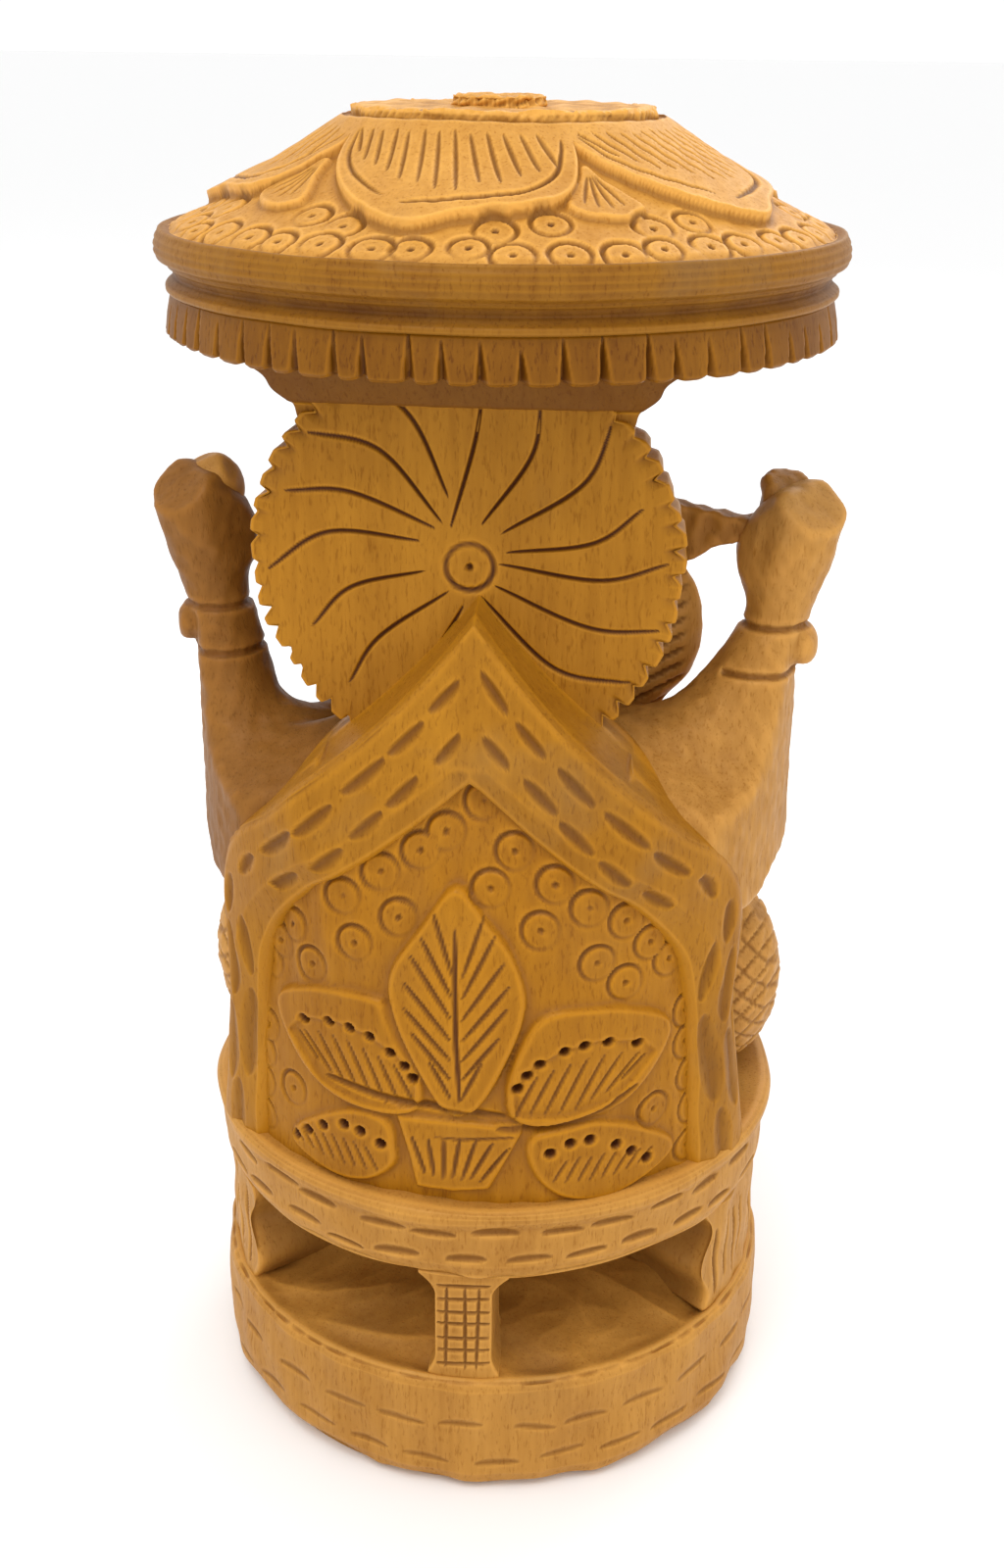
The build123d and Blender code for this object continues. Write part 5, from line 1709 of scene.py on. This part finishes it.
def rightPalmShape(p):
    palm = seatPoint(25.5, -19.5, 36.0, -1)
    arm = roundBar(p, seatPoint(13.5, -6.5, 38, -1), seatPoint(24, -12.5, 25.5, -1), 5.2, 4.5)
    arm = massed(p, arm, [
        (2.5, seatPoint(24, -12.5, 25.5, -1), palm + np.array([0, 0, -4.6]), 4.4, 3.0),
        (1.5, palm + np.array([0, 0, -1.2]), (3.5, 1.9, 4.4)),
    ])
    for k in range(4):
        foot = palm + np.array([(k - 1.5) * 1.55, 0, 0])
        arm = merge(arm, roundBar(p, foot, foot + np.array([0, -0.4, 4.0 - 0.5 * abs(k - 1.6)]), 0.98, 0.8),
                    0.35)
    return merge(arm, roundBar(p, palm + np.array([2.8, 0, -3]), palm + np.array([3.9, -0.6, 0.8]), 1.1,
                               0.85), 0.6)


def frontArmMarks(side):
    def marks(points, normals):
        x, y, z = points.T
        a, b = side * x, z - seatTop
        bangle = band(y + 15.6 if side > 0 else b - 29.6, 0.6) * (a > 17)
        armlet = band(b - 33.5 + 0.3 * (a - 18), 0.55) * (y > -14) * (a < 24)
        cut = np.maximum(bangle * 0.5, armlet * 0.5)
        return cut, np.clip(cut * 0.8, 0, 0.45)
    return marks


def axeShape(p):
    grip = seatPoint(30.8, 5, 68, -1)
    handle = roundBar(p, grip - np.array([0, 0, 8]), grip + np.array([0, 0, 5.0]), 2.0, 2.8)
    handle = trim(handle, plane(p, grip + np.array([0, 0, 6.4]), (-0.35, 0.5, 1)), 0.4)
    local = p - grip[:, None, None, None]
    reach = np.clip(local[0] / 17.0, 0, 1)
    top = local[2] - (1.6 + 3.2 * reach**1.4)
    bottom = -local[2] - (0.6 + 6.2 * softStep(reach, 0.25, 1.0))
    thick = np.abs(local[1]) - (1.9 - 0.5 * reach)
    blade = trim(trim(trim(top, bottom, 0.6), thick, 0.6), local[0] - 16.6, 0.5)
    blade = trim(blade, -local[0], 0.5)
    return merge(handle, blade, 1.6)


def lotusShape(p):
    stem = seatPoint(30.8, 5, 68)
    bud = roundBar(p, stem + np.array([0, 0, 0.5]), stem + np.array([0.3, 0, 3.4]), 3.4, 3.6)
    return trim(bud, plane(p, stem + np.array([1.5, 1.5, 5.7]), (0.35, 0.35, 1)), 0.4)


def bowlShape(p):
    base = seatPoint(14.0, -25.5, 23.0)
    x, y, z = p - base[:, None, None, None]
    r = np.sqrt(x * x + y * y)
    wall = r - (3.9 + 1.4 * np.clip(z / 4.2, 0, 1) ** 0.6)
    dish = trim(trim(wall, z - 3.6, 0.3), -z, 0.3)
    dish = trim(dish, -egg(p, base + np.array([0, 0, 4.8]), (4.0, 4.0, 2.8)), 0.3)
    for dx, dy in ((1.6, -1.2), (2.4, 1.4), (-0.2, -2.6), (0.2, 2.4), (0.6, 0.2)):
        dish = merge(dish, egg(p, base + np.array([dx, dy, 3.0]), (1.45, 1.45, 1.35)), 0.25)
    return dish


def makeCrown():
    low, high = nodeBox("crown")
    out, foot, top = high[0], low[2], high[2]
    skin = turned([
        (0, foot - 1.2, 3), (out - 0.8, foot - 1.2, 0.8), (out, foot - 0.2, 0.25), (out, foot + 2.6, 0.25),
        (out - 0.9, foot + 3.0, 0.2),
        (out - 0.5, foot + 3.6, 0.2), (out - 1.4, foot + 6.5, 0.25), (out - 2.2, foot + 8.6, 0.25),
        (out - 3.0, foot + 8.9, 0.2), (out - 2.8, foot + 9.5, 0.2),
        (out - 4.0, foot + 12.6, 0.25), (out - 4.6, foot + 13.2, 0.2), (4.4, foot + 14.2, 0.25),
        (4.2, top + 0.3, 0.3), (0, top + 0.3, 2)], 420)
    up = skin["z"] - foot
    flutes = np.abs(np.sin(skin["phi"] * 10)) ** 0.7 * 0.75
    rows = (up > 3.6) & (up < 8.4) | (up > 9.6) & (up < 12.6)
    band = lines(skin["phi"] * 18, turn / 2 * 0.9, 0.5) * (up > 0.4) * (up < 2.3) * 0.4
    cut = np.where(rows, 0.75 - flutes, 0) + band
    piece = turnedObject("crown", skin, -cut, np.clip(cut * 0.4, 0, 0.3))
    return settle(piece, "figureWood", ["crown"])


def stringBeads(name, path, radius, spacing, seed):
    curve = bpy.data.curves.new(name, "CURVE")
    curve.dimensions = "3D"
    spline = curve.splines.new("POLY")
    spline.points.add(len(path) - 1)
    spline.points.foreach_set("co", np.column_stack([np.array(path) * mm, np.ones(len(path))]).ravel())
    holder = bpy.data.objects.new(name, curve)
    bpy.context.scene.collection.objects.link(holder)
    beads = grow(holder, beadTree,
                 {"Spacing": spacing * mm, "Bead Radius": radius * mm, "Uneven": 0.1, "Seed": seed},
                 woods["figureWood"])
    beads.data.attributes.new("scorch", "FLOAT", "POINT")
    return settle(beads, "figureWood", [])


def makeBeads():
    f = figure
    ring = np.linspace(0, turn, 90)
    crownFoot = nodeBox("crown")[0][2]
    stringBeads("crownBeads", [(9.5 * math.sin(t), 9.5 * -math.cos(t), crownFoot + 0.1) for t in ring
                               if math.cos(t) > -0.75], f["beadRadius"], f["beadSpacing"], 3)
    arc = np.linspace(-1, 1, 60)
    necklace = [(10.6 * a, -8.6 - 5.0 * math.cos(a * 1.5), seatTop + 44.5 - 9.0 * math.cos(a * 1.5))
                for a in arc]
    stringBeads("necklace", necklace, f["beadRadius"], f["beadSpacing"], 5)


print("figure")
fine = figure["detail"]
sculpt("torso", ["torso"], ((-19, -19, seatTop - 1), (19, 9, seatTop + 51)), fine * 1.15, torsoShape, 0.15,
       torsoMarks)
sculpt("rightLeg", ["right_leg"], ((-36, -32.5, seatTop - 1), (14.5, 8.5, seatTop + 26)), fine,
       legShape(-1, (3.0, -27.5, 4.9), (9.6, -26, 4.2)), 0.2, legMarks(-1, (9.6, -26, 4.2)))
sculpt("leftLeg", ["left_leg"], ((-2, -27, seatTop - 1), (36, 8.5, seatTop + 26)), fine,
       legShape(1, (8.0, -21.0, 4.9), (2.4, -21.5, 4.2)), 0.2, legMarks(1, (2.4, -21.5, 4.2)))
sculpt("head", ["head"], ((-13, -15, headCentre - 16), (13, 15, headCentre + 14)), fine, headShape, 0.12,
       headMarks)
for side, name in ((1, "left"), (-1, "right")):
    sculpt(name + "Ear", [name + "_ear"],
           ((min(side * 5, side * 24), -4.5, seatTop + 42), (max(side * 5, side * 24), 8.5, seatTop + 67.5)),
           fine, earShape(side), 0.15, earMarks(side))
    sculpt(name + "Tusk", [name + "_tusk"],
           ((min(side * 3, side * 11), -20, headCentre - 13), (max(side * 3, side * 11), -6, headCentre - 3)),
           0.25, tuskShape(side, 7.4 if side > 0 else 3.6), 0.06)
    sculpt(name + "RearArm", [name + "_rear_arm"],
           ((min(side * 5, side * 37), -6, seatTop + 27), (max(side * 5, side * 37), 22, seatTop + 75)), fine,
           rearArmShape(side), 0.16, rearArmMarks(side), "leftArmWood" if side > 0 else "figureWood")
sculpt("trunk", ["trunk"], ((-7, -28, seatTop + 24), (17, -2, headCentre + 6)), fine, trunkShape, 0.12,
       trunkMarks)
sculpt("leftFrontArm", ["left_front_arm"], ((8, -32, seatTop + 15), (30, 0, seatTop + 45)), fine,
       leftPalmShape, 0.2, frontArmMarks(1))
sculpt("rightFrontArm", ["right_front_arm"], ((-30, -24, seatTop + 19), (-8, 0, seatTop + 45)), fine,
       rightPalmShape, 0.2, frontArmMarks(-1))
sculpt("axe", ["axe"], ((-35, 0.5, seatTop + 58), (-12, 9.5, seatTop + 76.5)), fine, axeShape, 0.3, None,
       "cutWood")
sculpt("lotusBud", ["lotus_bud"], ((26, 0, seatTop + 66), (36, 10, seatTop + 76)), fine, lotusShape, 0.25)
sculpt("sweetBowl", ["sweet_bowl"], ((8, -31.5, seatTop + 22), (20, -19.5, seatTop + 28.5)), 0.28, bowlShape,
       0.08)
makeCrown()
makeBeads()


# Camera, floor and light

view = {"focal": 41.9, "turned": 5.5, "distance": 197.3, "height": 156.4, "down": 21.28, "roll": 0.63,
        "side": -0.5, "shift": -0.0277}


def makeCamera():
    data = bpy.data.cameras.new("camera")
    camera = bpy.data.objects.new("camera", data)
    bpy.context.scene.collection.objects.link(camera)
    a = math.radians(view["turned"])
    x, y = view["side"], view["distance"]
    camera.location = (Vector((x * math.cos(a) - y * math.sin(a), x * math.sin(a) + y * math.cos(a),
                               view["height"])) * mm)
    level = Matrix.Rotation(math.pi + a, 3, "Z") @ Matrix.Rotation(math.radians(90 - view["down"]), 3, "X")
    camera.rotation_euler = (level @ Matrix.Rotation(math.radians(view["roll"]), 3, "Z")).to_euler()
    data.lens = view["focal"]
    data.sensor_width = 36.0
    data.shift_y = view["shift"]
    data.clip_start = 0.01
    bpy.context.scene.camera = camera


def makeStage():
    mesh = bpy.data.meshes.new("floor")
    half = 12.0
    mesh.from_pydata([(-half, -half, 0), (half, -half, 0), (half, half, 0), (-half, half, 0)], [],
                     [(0, 1, 2, 3)])
    floor = bpy.data.objects.new("floor", mesh)
    bpy.context.scene.collection.objects.link(floor)
    paint = bpy.data.materials.new("paleFloor")
    paint.use_nodes = True
    paint.node_tree.nodes["Principled BSDF"].inputs["Base Color"].default_value = (0.92, 0.92, 0.92, 1)
    paint.node_tree.nodes["Principled BSDF"].inputs["Roughness"].default_value = 0.7
    mesh.materials.append(paint)


lamps = {
    # place in metres, watts, width in metres
    "windowLight": ((0.1, 0.4, 0.75), 2.4, 0.4),
    "sideFill": ((-0.6, 0.35, 0.3), 0.5, 0.5),
    "frontLight": ((-0.3, -0.6, 0.6), 1.6, 0.5),
}


def addLamp(name, place, power, size):
    data = bpy.data.lights.new(name, "AREA")
    data.energy, data.size = power, size
    lamp = bpy.data.objects.new(name, data)
    lamp.location = place
    lamp.rotation_euler = (Vector((0, 0, 0.08)) - Vector(place)).to_track_quat("-Z", "Y").to_euler()
    bpy.context.scene.collection.objects.link(lamp)


makeCamera()
makeStage()
for name, lamp in lamps.items():
    addLamp(name, *lamp)
world = bpy.data.worlds.new("studio")
world.use_nodes = True
world.node_tree.nodes["Background"].inputs["Color"].default_value = (1, 1, 1, 1)
world.node_tree.nodes["Background"].inputs["Strength"].default_value = 1.05
bpy.context.scene.world = world
bpy.context.scene.view_settings.view_transform = "Standard"
